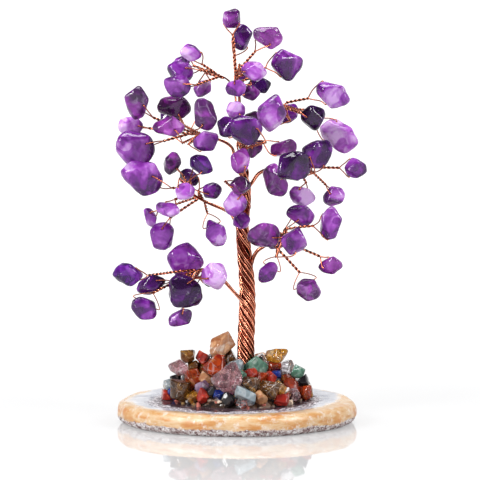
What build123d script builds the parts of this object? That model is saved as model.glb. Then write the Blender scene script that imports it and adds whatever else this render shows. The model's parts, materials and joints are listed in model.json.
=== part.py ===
from build123d import *
import math
import os

import numpy as np
from scipy.interpolate import CubicSpline
from scipy.spatial import HalfspaceIntersection, KDTree

# Gemstone tree on an agate slice. Millimetres, +Z up, +X to the right seen
# from the front, +Y to the back. The origin is the middle of the slice's
# flat underside.

# Overall size
tree_height = 159.0
slice_diameter = 90.0
slice_thickness = 8.2

# The picture that places were read from: 480 pixels square, looking down a little
tree_height_px = 417.0
picture_middle_px = 240.0
slice_middle_px = (237.0, 418.0)
sight_distance = 700.0
sight_elevation = 9.0

# Clearances between pieces that only rest on or pass each other
seat_clearance = 0.1
wire_clearance = 0.09
stone_clearance = 0.25
swing_clearance = 1.2
merge_distance = 0.05

# Copper wire
wire_diameter = 0.42
pair_diameter = 0.8
bore_diameter = 0.72
swing_bore_diameter = 0.58
loop_standoff = 0.5
loop_reach = 0.9
loop_reach_step = 0.15
loop_standoff_step = 0.08
loop_end_gap = 0.8
twig_spacing = 1.05
stem_point_count = 5
wire_sides = 3
bore_sides = 4

# Trunk rope: strands laid side by side in one ring, turning left hand as they climb
strand_sides = 5
strand_gap = 0.17
lay_angle = 31.0
rope_pitch = 26.0
strand_level_step = 3.6
strand_exit_rise = 4.0
strand_fade_length = 9.0
limb_step = 3.4
limb_tip_share = 0.62
trunk_axis_px = ((246, 401), (246, 350), (246.5, 320), (247.5, 292), (245.5, 265),
                 (243.0, 240), (242.5, 220), (245.5, 198), (245.0, 178), (240.0, 150),
                 (238.0, 120), (237.0, 88), (236.5, 70))

# Limbs from the lowest to the highest: strand diameter, picture row where the strand leaves
# the trunk, and picture column, row and depth of the points on the way to its hub
limbs = {
    "lower_left": (1.5, 306, ((232, 290, -2), (218, 276, -4), (203, 270, -5), (190, 281, -6))),
    "lower_right": (1.5, 266, ((258, 251, -3), (270, 245, -3.5), (287, 231, -5))),
    "mid_left": (1.4, 230, ((233, 217, -1), (214, 206, -2), (197, 198, -4), (184, 190, -5))),
    "centre": (1.0, 222, ((250, 209, -4), (247, 201, -5.5), (244, 192, -6.5))),
    "right": (1.4, 192, ((256, 177, 1), (270, 169, 1), (290, 168, -1), (312, 168, -3))),
    "centre_high": (1.0, 178, ((242, 158, -4), (243, 147, -5), (246, 135, -5))),
    "upper_left": (1.3, 167, ((233, 150, 2), (219, 140, 4), (203, 136, 5), (188, 135, 5))),
    "upper_right": (1.2, 154, ((249, 138, 3), (262, 124, 6), (276, 110, 8), (287, 103, 7))),
    "top_left": (1.0, 97, ((228, 80, 1), (221, 76, 2), (212, 72.5, 2))),
    "top": (1.2, 88, ((237, 80, 0), (235, 75, 0), (235, 69, 0))),
}

# Stone outlines as the hull of round lobes: place along and across, then radius, in shares
# of the half length and the half width
outline_shares = {
    "oval": ((-1, 0, 0.78), (1, 0, 0.78), (0, 0, 1)),
    "egg": ((-1, 0, 0.98), (1, 0, 0.58), (0, 0, 0.9)),
    "drop": ((-1, 0, 0.98), (1, 0, 0.26)),
    "bean": ((-1, -0.6, 0.72), (1, -0.4, 0.66), (0, 1, 0.55)),
    "block": ((-1, -1, 0.5), (-1, 1, 0.42), (1, 1, 0.5), (1, -1, 0.38)),
    "wedge": ((-1, -1, 0.36), (-1, 1, 0.4), (1, 0, 0.3)),
    "rhomb": ((-1, 0.3, 0.34), (1, -0.2, 0.34), (0.1, 1, 0.4), (-0.2, -1, 0.4)),
}
thickness_share = 0.72
stone_fit_share = 0.955
hole_place_share = 0.52
pebble_depth_share = 0.8
pebble_growth = 1.18
pebble_lift_share = 0.36

# Amethyst chips: limb, outline, picture column, row, depth, length and width in pixels, turn
chips = (
    ("top", "drop", 232, 16, -2, 22, 19, 60),
    ("top", "oval", 241.5, 37, 7, 28, 18, 85),
    ("top", "oval", 268.5, 35, -3, 33, 19, -18),
    ("top", "block", 287, 64, 2, 33, 22, -40),
    ("top", "oval", 254, 69.5, -7, 27, 18, -10),
    ("top", "bean", 259, 84.5, 5, 27, 13, 10),
    ("top", "oval", 236, 87, -11, 22, 16, 0),
    ("top", "egg", 251, 92, -5, 20, 14, 0),
    ("top_left", "egg", 190.5, 51.5, -4, 23, 16, -15),
    ("top_left", "oval", 182, 61, 6, 16, 11, 0),
    ("top_left", "block", 180, 71, 1, 24, 18, -20),
    ("top_left", "wedge", 176, 87, -7, 24, 25, -85),
    ("top_left", "egg", 203, 88, 8, 21, 14, 50),
    ("upper_right", "egg", 272.5, 112, -13, 37, 27, 75),
    ("upper_right", "oval", 333, 94, 3, 38, 22, -25),
    ("upper_right", "drop", 340, 136.5, 8, 45, 24, -25),
    ("upper_right", "wedge", 314.5, 120, -2, 23, 25, -80),
    ("upper_left", "egg", 136, 102, -3, 36, 20, 85),
    ("upper_left", "oval", 174, 107.5, 4, 37, 20, -5),
    ("upper_left", "bean", 205, 114, -8, 37, 19, -70),
    ("upper_left", "egg", 131, 126, 9, 27, 18, 0),
    ("upper_left", "oval", 167.5, 127.5, -6, 34, 17, 0),
    ("upper_left", "block", 134.5, 148.5, 0, 40, 26, -30),
    ("upper_left", "rhomb", 205.5, 141, -10, 28, 21, 25),
    ("centre_high", "oval", 236, 110, -7, 20, 18, 0),
    ("centre_high", "egg", 227, 127, -10, 22, 20, 90),
    ("centre_high", "block", 246, 129, -18, 32, 22, -25),
    ("centre_high", "rhomb", 252, 119, -6, 20, 16, 60),
    ("centre_high", "bean", 255, 149, -4.5, 22, 12, 60),
    ("centre_high", "bean", 283.5, 148, 5, 32, 14, 12),
    ("centre", "egg", 240.5, 161, -12, 28, 17, 75),
    ("centre", "oval", 240.5, 186.5, -17, 21, 18, 0),
    ("centre", "egg", 241.8, 221.2, -5.4, 18, 17, 80),
    ("centre", "rhomb", 235, 205, -12.5, 26, 24, 100),
    ("right", "block", 295, 168, -12, 38, 22, 12),
    ("right", "bean", 277, 181, -5, 38, 18, -65),
    ("right", "wedge", 320, 155.5, -12, 30, 30, -75),
    ("right", "oval", 357, 169, -5, 23, 20, 0),
    ("right", "egg", 302.5, 196, 2, 29, 17, -15),
    ("right", "oval", 333.5, 196.5, 6, 24, 19, 30),
    ("mid_left", "block", 142, 178, -3, 41, 23, -20),
    ("mid_left", "oval", 172, 163.5, 4, 26, 16, 75),
    ("mid_left", "egg", 201, 165.5, -8, 26, 17, -30),
    ("mid_left", "oval", 184, 192.5, -15, 20, 18, 0),
    ("mid_left", "egg", 212.5, 191, 3, 21, 15.5, -5),
    ("mid_left", "bean", 151, 217, 6, 22, 11, -70),
    ("mid_left", "oval", 167, 210, -8, 27, 13, -12),
    ("mid_left", "block", 162, 236.5, -1, 27, 21, 92),
    ("lower_right", "bean", 301, 214.5, 0, 32, 17, -15),
    ("lower_right", "egg", 331, 224, -5, 36, 18, 85),
    ("lower_right", "block", 264.5, 236, -9.5, 30, 21, 20),
    ("lower_right", "oval", 276, 240, 12, 24, 17, 20),
    ("lower_right", "oval", 330.5, 266, 0, 25, 16, 8),
    ("lower_left", "block", 184.5, 261.5, -3, 38, 26, -45),
    ("lower_left", "rhomb", 184, 294, -12, 40, 34, -30),
    ("lower_left", "drop", 129.5, 274, 3, 32, 20, -5),
    ("lower_left", "bean", 150.5, 284.8, -6, 31, 17, 20),
    ("lower_left", "drop", 214.5, 278.5, -16, 28, 26, -75),
    ("lower_left", "egg", 180.5, 318, -4, 28, 14, 30),
    ("top", "egg", 246, 74, 17, 20, 14, 30),
    ("upper_right", "oval", 288, 114, 19, 24, 17, 40),
    ("upper_left", "egg", 172, 117, 19, 24, 16, 20),
    ("centre_high", "oval", 240, 133, 16, 24, 18, -20),
    ("right", "egg", 293, 172, 15, 24, 17, 10),
    ("mid_left", "oval", 190, 178, 13, 22, 15, -30),
    ("lower_left", "egg", 211, 277, 9, 22, 16, -40),
    ("lower_right", "wedge", 296, 240.5, -17, 26, 24, 70),
)

# Chips that hang loose and swing on their wire: as above, then the side their wire comes from
hanging_chips = {
    "hanging_chip_lower_left": ("lower_left", "egg", 144, 310, -9, 30, 20, -35, 62),
    "hanging_chip_lower_right": ("lower_right", "egg", 267.5, 274, -8, 26, 15, -130, 60),
    "hanging_chip_far_right": ("lower_right", "egg", 309, 290.5, -5, 27, 22, -25, 118),
    "hanging_chip_mid_left": ("mid_left", "drop", 215, 233.5, -10, 31, 20, 120, 112),
}

# Chip pebbles round the foot: stone, picture column and row, length and width in pixels, turn
pebbles = (
    ("peach_moonstone", 221, 347, 30, 12, -28), ("tiger_eye", 230, 358, 22, 9, -10),
    ("tiger_eye", 189, 355, 18, 10, 20), ("rose_quartz", 181, 367, 15, 14, 0),
    ("tiger_eye", 193, 365, 13, 10, 0), ("red_jasper", 203, 357, 13, 10, 30),
    ("carnelian", 214, 370, 21, 18, 20), ("lepidolite", 222, 361, 12, 9, 0),
    ("chalcedony", 234, 370, 14, 14, 40), ("clear_quartz", 251, 357, 22, 16, 0),
    ("aventurine", 256, 367, 26, 11, -10), ("citrine", 274, 356, 20, 12, 15),
    ("carnelian", 273, 365, 26, 14, 10), ("clear_quartz", 287, 366, 13, 12, 0),
    ("aventurine", 296, 371, 12, 12, 60), ("obsidian", 302, 379, 12, 10, 0),
    ("rose_quartz", 228, 385, 30, 20, 10), ("tiger_eye", 181, 391, 18, 19, 0),
    ("carnelian", 193, 379, 26, 12, -15), ("chalcedony", 170, 384, 14, 9, 0),
    ("obsidian", 177, 377, 11, 8, 0), ("red_jasper", 169, 393, 15, 11, 10),
    ("lepidolite", 202, 388, 12, 10, 0), ("red_jasper", 203, 399, 12, 9, 0),
    ("citrine", 193, 399, 11, 9, 0), ("lapis", 219, 398, 11, 9, 0),
    ("obsidian", 212, 394, 9, 9, 0), ("obsidian", 228, 403, 13, 9, 0),
    ("chalcedony", 245, 400, 26, 11, -28), ("peach_moonstone", 261, 401, 14, 10, 0),
    ("clear_quartz", 242, 407, 10, 7, 0), ("red_jasper", 251, 376, 15, 9, 10),
    ("carnelian", 261, 378, 14, 7, 25), ("tiger_eye", 250, 388, 18, 13, -20),
    ("red_jasper", 270, 378, 11, 9, 0), ("lapis", 276, 373, 10, 8, 0),
    ("tiger_eye", 268, 393, 15, 17, 80), ("citrine", 280, 391, 12, 10, 0),
    ("red_jasper", 282, 402, 15, 9, 0), ("carnelian", 291, 386, 16, 8, 85),
    ("citrine", 304, 389, 16, 14, 20), ("rose_quartz", 294, 395, 12, 9, 0),
    ("peach_moonstone", 206, 379, 12, 9, 0), ("aventurine", 240, 378, 13, 10, 30),
)
back_pebble_kinds = ("carnelian", "clear_quartz", "tiger_eye", "aventurine", "rose_quartz",
                     "red_jasper", "chalcedony", "citrine", "obsidian", "lepidolite",
                     "peach_moonstone", "lapis")
back_pebble_size = (8.2, 6.4)
back_ring_radii = (24.6, 19.0, 13.0)
back_ring_counts = (12, 9, 6)
back_ring_sweep = math.radians(200)
back_ring_start = math.radians(-10)

# Glue mound that holds the foot and the pebbles
mound_radius = 23.5
mound_height = 12.5
mound_middle = (0.8, 0.0)
mound_bore_clearance = 0.5
mound_ring_shares = (0, 0.3, 0.58, 0.8, 0.96)
mound_sides = 24
mound_bore_sides = 12

# Agate slice: wavy outline as shares of the radius, for rings from the underside up
slice_ring_shares = ((0.0, 0.93), (0.16, 0.975), (0.42, 1.0), (0.7, 0.992), (0.9, 0.965), (1.0, 0.93))
slice_wave_shares = ((2, 0.010, 0.4), (3, 0.008, 1.9), (5, 0.006, 0.7), (7, 0.005, 2.6), (11, 0.003, 1.1))
slice_points = 30

# Values of the chips' facets, and of the search for places, that follow no other size
rim_facets = 7
bevel_facets = 3
rim_jitter = math.radians(8)
rim_lean = math.radians(14)
bevel_lean = math.radians(47)
cap_tilt = math.radians(9)
chip_tilt = math.radians(24)
hole_rolls = (math.radians(12), math.radians(50), math.radians(80))
chip_depth_shares = (0.88, 1.12)
half_step_share = 0.5
facing_share = 0.08
steep_share = 0.9
leg_samples = 9
wire_sample_step = 2.0
bore_overrun = 20.0
settle_rounds = 40
chip_reach = 24.0
bow_share = 0.35
steep_slope_share = 0.3
samples_per_run = 4
ease_rounds = 90
longest_move = 1.2
smooth_rounds_share = 0.75
smooth_share = 0.12
golden_turn = math.pi * (3 - math.sqrt(5))
pebble_facets = 8
sight_steps = 400
pebble_facet_shares = (0.86, 1.04)
back_size_shares = (0.85, 1.2)
pebble_turn_step = 47
pebble_reach = 14.0

parts_folder = "parts"
mm_per_px = tree_height / tree_height_px
wire_radius = wire_diameter / 2
pair_radius = pair_diameter / 2


def unit(vector):
    """The vector at length one."""
    return vector / np.linalg.norm(vector)


# The sight line of a pixel is followed to a given depth behind the tree's middle plane
elevation = math.radians(sight_elevation)
sight = np.array([0.0, math.cos(elevation), -math.sin(elevation)])
picture_right = np.array([1.0, 0.0, 0.0])
picture_up = np.array([0.0, math.sin(elevation), math.cos(elevation)])
foot_drop = (slice_middle_px[1] - picture_middle_px) * mm_per_px
sight_height = foot_drop / (math.cos(elevation) - foot_drop / sight_distance * math.sin(elevation))
middle_offset = (picture_middle_px - slice_middle_px[0]) * mm_per_px
eye_place = np.array([middle_offset, 0.0, sight_height]) - sight * sight_distance


def place(column_px, row_px, depth):
    """The point at a depth on the sight line through a pixel."""
    across = (column_px - picture_middle_px) * mm_per_px / sight_distance
    rise = (picture_middle_px - row_px) * mm_per_px / sight_distance
    ray = sight + picture_right * across + picture_up * rise
    return eye_place + ray * ((depth - eye_place[1]) / ray[1])


def outline_support(outline, half_length, half_width, turn):
    """How far the outline reaches in a direction: the furthest of its round lobes."""
    reach = -math.inf
    for along_share, across_share, radius_share in outline_shares[outline]:
        radius = radius_share * half_width
        along = along_share * (half_length - radius)
        across = across_share * (half_width - radius)
        reach = max(reach, along * math.cos(turn) + across * math.sin(turn) + radius)
    return reach


class Stone:
    """A convex stone kept as flat facets: outward normals, their distances and a middle."""

    def __init__(self, middle, normals, distances):
        self.middle = np.array(middle)
        self.normals = np.array(normals)
        self.distances = np.array(distances)
        self.find_corners()

    def find_corners(self):
        """The corners where the facets meet, each kept once."""
        spaces = np.column_stack((self.normals, -self.distances))
        corners = HalfspaceIntersection(spaces, self.middle).intersections
        kept = []
        for corner in corners:
            if all(np.linalg.norm(corner - other) > merge_distance for other in kept):
                kept.append(corner)
        self.corners = np.array(kept)

    def move(self, shift):
        self.middle = self.middle + shift
        self.corners = self.corners + shift
        self.distances = self.distances + self.normals @ shift

    def add_facets(self, normals, distances):
        self.normals = np.vstack((self.normals, normals))
        self.distances = np.concatenate((self.distances, distances))
        self.find_corners()

    def gaps(self, points):
        """How far points lie outside each facet."""
        return np.atleast_2d(points) @ self.normals.T - self.distances

    def exit_distance(self, start, direction):
        """The way from a point inside to the surface along a direction."""
        slopes = self.normals @ direction
        ahead = slopes > facing_share
        return (-self.gaps(start)[0][ahead] / slopes[ahead]).min()

    def solid(self):
        return ConvexPolyhedron([tuple(corner) for corner in self.corners])


def tumbled_chip(middle, axes, half_length, half_width, outline, seed, level):
    """A tumbled chip: a rim of facets round its outline, bevels above and below, two caps.

    Each facet stands at the support distance of a lens that has the outline and the chip's
    thickness. A level chip has the same facets on both sides, so that it hangs level.
    """
    random = np.random.default_rng(seed)
    half_depth = thickness_share * half_width * (1 if level else random.uniform(*chip_depth_shares))
    facets = []
    for index in range(rim_facets):
        turn = math.tau * index / rim_facets + random.uniform(-rim_jitter, rim_jitter)
        facets.append((turn, 0 if level else random.uniform(-rim_lean, rim_lean)))
    for side in (1, -1):
        for index in range(bevel_facets):
            turn = math.tau * (index + (0 if level or side > 0 else half_step_share)) / bevel_facets
            facets.append((turn, side * bevel_lean))
        facets.append((0, side * (math.pi / 2 if level else math.pi / 2 - cap_tilt)))
    normals, distances = [], []
    for turn, lean in facets:
        reach = outline_support(outline, half_length, half_width, turn) * math.cos(lean)
        distance = math.hypot(reach, half_depth * math.sin(lean)) * stone_fit_share
        level_reach = math.cos(lean)
        facing = np.array([math.cos(turn) * level_reach, math.sin(turn) * level_reach, math.sin(lean)])
        normals.append(facing @ axes)
        distances.append(normals[-1] @ middle + distance)
    return Stone(middle, normals, distances)


def chip_axes(turn_degrees, tilt_along, tilt_across):
    """Rows of a frame whose first axis is the chip's length, turned in the upright picture."""
    turn = math.radians(turn_degrees)
    along = np.array([math.cos(turn), 0.0, math.sin(turn)])
    front = np.array([0.0, -1.0, 0.0])
    along = unit(along + front * math.tan(tilt_along))
    across = unit(np.cross(front, along) + front * math.tan(tilt_across))
    across = unit(across - along * (across @ along))
    return np.array([along, across, np.cross(along, across)])


def push_behind(front, back, clearance):
    """How far back a stone has to move along the sight line to clear the one before it."""
    gaps = np.concatenate(((back.corners @ front.normals.T).min(axis=0) - front.distances,
                           (front.corners @ back.normals.T).min(axis=0) - back.distances))
    if gaps.max() >= clearance:
        return 0.0
    slopes = np.concatenate((front.normals @ sight, -(back.normals @ sight)))
    ahead = slopes > facing_share
    return ((clearance - gaps[ahead]) / slopes[ahead]).min()


def push_off_wires(stone, points, radii):
    """The shortest way along the sight line that takes a stone clear of wires near it."""
    gaps = stone.gaps(points)
    need = radii + stone_clearance
    near = gaps.max(axis=1) < need
    if not near.any():
        return 0.0
    shifts = (gaps[near] - need[near, None]) / (stone.normals @ sight)
    forward = np.where(shifts < 0, shifts, -math.inf).max(axis=1).min()
    backward = np.where(shifts > 0, shifts, math.inf).min(axis=1).max()
    return forward if -forward < backward else backward


# Strands: the ring they share in the trunk, and the limb that each becomes
axis_points = np.array([place(column, row, 0) for column, row in trunk_axis_px])
trunk_axis = CubicSpline(axis_points[:, 2], axis_points[:, :2])
leave_heights = {name: place(picture_middle_px, limb[1], 0)[2] for name, limb in limbs.items()}
last_pair = list(limbs)[-2:]
widest_strand = max(limb[0] for limb in limbs.values())
foot_height = slice_thickness + seat_clearance
lay = math.radians(lay_angle)


def ease(share):
    """A smooth step from 0 to 1."""
    share = min(max(share, 0), 1)
    return share * share * (3 - 2 * share)


def ring_share(name, height):
    """The part of the ring's rim that a strand takes: it fades above the strand's limb."""
    if name in last_pair:
        return 1
    return 1 - ease((height - leave_heights[name] - strand_exit_rise / 2) / strand_fade_length)


def ring_radius(height):
    """The least ring in which the strands still in the trunk lie side by side."""
    shares = [ring_share(name, height) for name in limbs]
    rims = [share * (limbs[name][0] + strand_gap) for share, name in zip(shares, limbs)]
    return sum(rims) / sum(shares) / (2 * math.sin(math.pi / sum(shares)) * math.cos(lay))


def ring_turn(height):
    """How far the rope has turned at a height: left hand, so backwards as it climbs."""
    return -math.tau * height / rope_pitch


def order_ring():
    """Give each strand the place in the ring that faces its limb where it leaves."""
    free_places = list(range(len(limbs)))
    order = [None] * len(limbs)
    for name, (_, _, way) in limbs.items():
        height = leave_heights[name] + (0 if name in last_pair else strand_exit_rise)
        target = place(*way[0])[:2] - trunk_axis(height)
        facing = math.atan2(target[1], target[0])
        offsets = [abs(math.remainder(ring_turn(height) + math.tau * (index + half_step_share)
                                      / len(free_places) - facing, math.tau))
                   for index in range(len(free_places))]
        order[free_places.pop(offsets.index(min(offsets)))] = name
    return order


ring_order = order_ring()


def ring_place(name, height):
    """Where a strand's middle lies at a height, moving outwards above its leaving height."""
    rims = [ring_share(other, height) * (limbs[other][0] + strand_gap) for other in ring_order]
    index = ring_order.index(name)
    turn = ring_turn(height) + math.tau * (sum(rims[:index]) + rims[index] / 2) / sum(rims)
    rise = 0 if name in last_pair else ease((height - leave_heights[name]) / strand_exit_rise)
    radius = ring_radius(height) + rise * ((limbs[name][0] + widest_strand) / 2 + strand_gap)
    middle = trunk_axis(height)
    return np.array([middle[0] + radius * math.cos(turn), middle[1] + radius * math.sin(turn), height])


class Strand:
    """One strand: its middle line up the trunk and along the limb, and its radius there."""

    def __init__(self, name):
        diameter, _, way = limbs[name]
        top = leave_heights[name] + (0 if name in last_pair else strand_exit_rise)
        levels = np.linspace(foot_height, top, round((top - foot_height) / strand_level_step) + 1)
        turns = [ring_place(name, level) for level in levels]
        controls = np.array(turns + [place(*point) for point in way])
        steps = np.linalg.norm(np.diff(controls, axis=0), axis=1)
        self.lengths = np.concatenate(([0], np.cumsum(steps)))
        self.line = CubicSpline(self.lengths, controls)
        self.limb_start = self.lengths[len(turns) - 1]
        self.end = self.lengths[-1]
        self.radius = diameter / 2
        limb_count = math.ceil((self.end - self.limb_start) / limb_step)
        limb_places = np.linspace(self.limb_start, self.end, limb_count + 1)[1:]
        self.stations = np.concatenate((self.lengths[:len(turns)], limb_places))

    def radius_at(self, length):
        """The radius, drawn down along the limb to its tip."""
        share = np.clip((length - self.limb_start) / (self.end - self.limb_start), 0, 1)
        return self.radius * (1 - share * (1 - limb_tip_share))

    def samples(self):
        lengths = np.linspace(0, self.end, round(self.end / wire_sample_step))
        return self.line(lengths), self.radius_at(lengths)


def tube_rings(points, radii, sides, level_start=False):
    """Sections of a wire through points: each is a polygon mitred between its two runs."""
    points = np.array(points)
    runs = np.diff(points, axis=0)
    runs = runs / np.linalg.norm(runs, axis=1)[:, None]
    start = np.array([0.0, 0.0, 1.0]) if abs(runs[0][2]) < steep_share else np.array([1.0, 0.0, 0.0])
    first = unit(start - runs[0] * (start @ runs[0]))
    rings = []
    for index, point in enumerate(points):
        before = runs[max(index - 1, 0)]
        after = runs[min(index, len(runs) - 1)]
        second = np.cross(before, first)
        turns = [math.tau * (side + half_step_share) / sides for side in range(sides)]
        ring = np.array([first * math.cos(turn) + second * math.sin(turn) for turn in turns])
        ring *= radii[index]
        mitre = np.array([0.0, 0.0, 1.0]) if level_start and index == 0 else unit(before + after)
        ring = ring - np.outer(ring @ mitre / (before @ mitre), before)
        rings.append(point + ring)
        first = unit(first - (before + after) * (first @ after) / (1 + before @ after))
    return rings


def bent_wire(points, radii, sides, level_start=False):
    """A wire along points: flat facets from section to section, closed at both ends."""
    rings = [[tuple(corner) for corner in ring] for ring in tube_rings(points, radii, sides, level_start)]
    facets = [rings[0], rings[-1]]
    for near, far in zip(rings, rings[1:]):
        for side in range(sides):
            beside = (side + 1) % sides
            facets.append([near[side], near[beside], far[beside]])
            facets.append([near[side], far[beside], far[side]])
    return Solid(Shell([Face(Wire.make_polygon(facet)) for facet in facets]))


class Chip:
    """A chip with its drilled hole and the wire loop that goes through it."""

    def __init__(self, limb, outline, column, row, depth, length, width, turn, seed, hang=None):
        self.limb = limb
        self.hangs = hang is not None
        random = np.random.default_rng(seed)
        tilts = (0, 0) if self.hangs else random.uniform(-chip_tilt, chip_tilt, 2)
        self.axes = chip_axes(turn, *tilts)
        self.roll = 0 if self.hangs else random.choice(hole_rolls)
        self.hang = hang
        self.stone = tumbled_chip(place(column, row, depth), self.axes, length * mm_per_px / 2,
                                  width * mm_per_px / 2, outline, seed, self.hangs)

    def drill(self, hub):
        """Set the hole square to the side that the wire comes from, and the loop round it."""
        stone = self.stone
        if self.hangs:
            side = np.array([math.cos(math.radians(self.hang)), 0.0, math.sin(math.radians(self.hang))])
        else:
            towards = hub - stone.middle
            side = unit(towards - self.axes[2] * (towards @ self.axes[2]))
        reach = stone.exit_distance(stone.middle, side)
        hole = stone.middle + side * reach * hole_place_share
        cross = np.cross(self.axes[2], side)
        self.hole_axis = cross * math.cos(self.roll) + self.axes[2] * math.sin(self.roll)
        self.hole = hole
        throw = reach * (1 - hole_place_share) + loop_reach
        standoff = loop_standoff
        knot, ends = self.loop_points(hole, side, throw, standoff)
        while not all(self.leg_is_clear(knot, end) for end in ends):
            throw += loop_reach_step
            standoff += loop_standoff_step
            knot, ends = self.loop_points(hole, side, throw, standoff)
        self.knot = knot
        self.loop = [knot, ends[0], ends[1], knot + unit(ends[1] - knot) * loop_end_gap]

    def loop_points(self, hole, side, throw, standoff):
        """The knot beside the chip, and the two points off the mouths of the hole."""
        ends = []
        for way in (self.hole_axis, -self.hole_axis):
            ends.append(hole + way * (self.stone.exit_distance(hole, way) + standoff))
        return hole + side * throw, ends

    def leg_is_clear(self, knot, end):
        """Whether the wire from the knot to the hole's mouth passes clear of the chip."""
        shares = np.linspace(0, 1, leg_samples)[:, None]
        line = knot * (1 - shares) + end * shares
        return self.stone.gaps(line).max(axis=1).min() >= wire_radius + seat_clearance

    def solid(self):
        """The chip with its hole bored along the loop's straight run."""
        start = self.hole - self.hole_axis * bore_overrun
        bore_plane = Plane(origin=tuple(start), z_dir=tuple(self.hole_axis))
        if self.hangs:
            section = bore_plane * Circle(swing_bore_diameter / 2)
        else:
            section = bore_plane * RegularPolygon(bore_diameter / 2, bore_sides, major_radius=False)
        bore = extrude(section, amount=2 * bore_overrun)
        return self.stone.solid() - bore


def settle_chips(chips_list, strands):
    """Move chips along the sight line only, until none touches another or a strand."""
    wires = [strand.samples() for strand in strands.values()]
    points = np.vstack([line for line, _ in wires])
    radii = np.concatenate([radius for _, radius in wires])
    order = sorted(chips_list, key=lambda chip: chip.stone.middle[1])
    for _ in range(settle_rounds):
        moved = 0
        for chip in order:
            shift = push_off_wires(chip.stone, points, radii)
            chip.stone.move(sight * shift)
            moved = max(moved, abs(shift))
        for index, front in enumerate(order):
            for back in order[index + 1:]:
                clearance = swing_clearance if front.hangs or back.hangs else stone_clearance
                if np.linalg.norm(front.stone.middle - back.stone.middle) > chip_reach:
                    continue
                shift = push_behind(front.stone, back.stone, clearance)
                front.stone.move(-sight * shift / 2)
                back.stone.move(sight * shift / 2)
                moved = max(moved, shift)
        if moved < merge_distance:
            break


def twig_root(strand, rank, knot):
    """Where a twig leaves its limb: on the side that faces its knot, tip first."""
    length = strand.end - rank * twig_spacing
    middle = strand.line(length)
    ahead = unit(strand.line(length, 1))
    if rank == 0:
        return middle + ahead * (pair_radius + seat_clearance), ahead
    side = unit((knot - middle) - ahead * ((knot - middle) @ ahead))
    return middle + side * (strand.radius_at(length) + pair_radius + seat_clearance), unit(ahead + side)


def start_stems(chips_list, strands):
    """First run of each twig: a bow from its root to its knot."""
    stems = np.zeros((len(chips_list), stem_point_count, 3))
    for name, strand in strands.items():
        own = [index for index, chip in enumerate(chips_list) if chip.limb == name]
        ahead = unit(strand.line(strand.end, 1))
        tip = strand.line(strand.end)
        own.sort(key=lambda index: -(unit(chips_list[index].knot - tip) @ ahead))
        for rank, index in enumerate(own):
            knot = chips_list[index].knot
            root, heading = twig_root(strand, rank, knot)
            bend = root + heading * np.linalg.norm(knot - root) * bow_share
            shares = np.linspace(0, 1, stem_point_count)[:, None]
            first_run = root * (1 - shares) + bend * shares
            last_run = bend * (1 - shares) + knot * shares
            stems[index] = first_run * (1 - shares) + last_run * shares
    return stems


def sight_push(gaps, slopes, need):
    """The shortest move along the sight line that takes each point out of a stone."""
    steep = abs(slopes) > steep_slope_share
    moves = (need - gaps[:, steep]) / slopes[steep]
    best = abs(moves).argmin(axis=1)
    return sight * moves[np.arange(len(moves)), best][:, None]


def ease_stems(stems, chips_list, strands):
    """Bend the twigs clear of chips, strands and each other, with both ends held."""
    samples_per_stem = (stem_point_count - 1) * samples_per_run + 1
    spots = np.linspace(0, stem_point_count - 1, samples_per_stem)
    weights = np.maximum(0, 1 - abs(spots[:, None] - np.arange(stem_point_count)))
    wires = [strand.samples() for strand in strands.values()]
    loops = []
    for chip in chips_list:
        for start, end in zip(chip.loop, chip.loop[1:]):
            loops.append(np.linspace(start, end, samples_per_run + 1))
    fixed = np.vstack([line for line, _ in wires] + loops)
    count = len(stems) * samples_per_stem
    own_loop_samples = (len(chips_list[0].loop) - 1) * (samples_per_run + 1)
    owners = np.concatenate((np.repeat(np.arange(len(stems)), samples_per_stem),
                             np.full(sum(len(radius) for _, radius in wires), -1),
                             np.repeat(np.arange(len(stems)), own_loop_samples)))
    radii = np.concatenate([np.full(count, pair_radius)] + [radius for _, radius in wires]
                           + [np.full(len(loops) * (samples_per_run + 1), wire_radius)])
    held = np.ones(stem_point_count)
    held[[0, -1]] = 0
    for step in range(ease_rounds):
        samples = (weights @ stems).reshape(-1, 3)
        push = np.zeros_like(samples)
        for chip in chips_list:
            gaps = chip.stone.gaps(samples)
            need = pair_radius + stone_clearance
            near = gaps.max(axis=1) < need
            if near.any():
                push[near] += sight_push(gaps[near], chip.stone.normals @ sight, need)
        points = np.vstack((samples, fixed))
        pairs = KDTree(points).query_pairs(2 * radii.max() + seat_clearance, output_type="ndarray")
        pairs = pairs[(pairs[:, 0] < count) & (owners[pairs[:, 0]] != owners[pairs[:, 1]])]
        away = points[pairs[:, 0]] - points[pairs[:, 1]]
        gap = np.maximum(np.linalg.norm(away, axis=1), merge_distance)
        short = np.maximum(0, radii[pairs].sum(axis=1) + wire_clearance - gap)
        away = away * (short / gap / 2)[:, None]
        np.add.at(push, pairs[:, 0], away)
        second = pairs[:, 1] < count
        np.add.at(push, pairs[second, 1], -away[second])
        shares = weights.sum(axis=0)
        move = np.einsum("sp,tsd->tpd", weights, push.reshape(len(stems), -1, 3)) / shares[:, None]
        size = np.linalg.norm(move, axis=2, keepdims=True)
        move = move * np.minimum(1, longest_move / np.maximum(size, merge_distance))
        stems = stems + move * held[:, None]
        if step < ease_rounds * smooth_rounds_share:
            middle = (stems[:, :-2] + stems[:, 2:]) / 2
            stems[:, 1:-1] += (middle - stems[:, 1:-1]) * smooth_share
    return stems


def twig_solid(stem, loop):
    """One twig: the twisted pair from the limb, then the single wire through the chip."""
    points = list(stem) + loop[1:]
    knot_radius = (pair_radius + wire_radius) / 2
    radii = [pair_radius] * (len(stem) - 1) + [knot_radius] + [wire_radius] * (len(loop) - 1)
    return bent_wire(points, radii, wire_sides)


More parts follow.
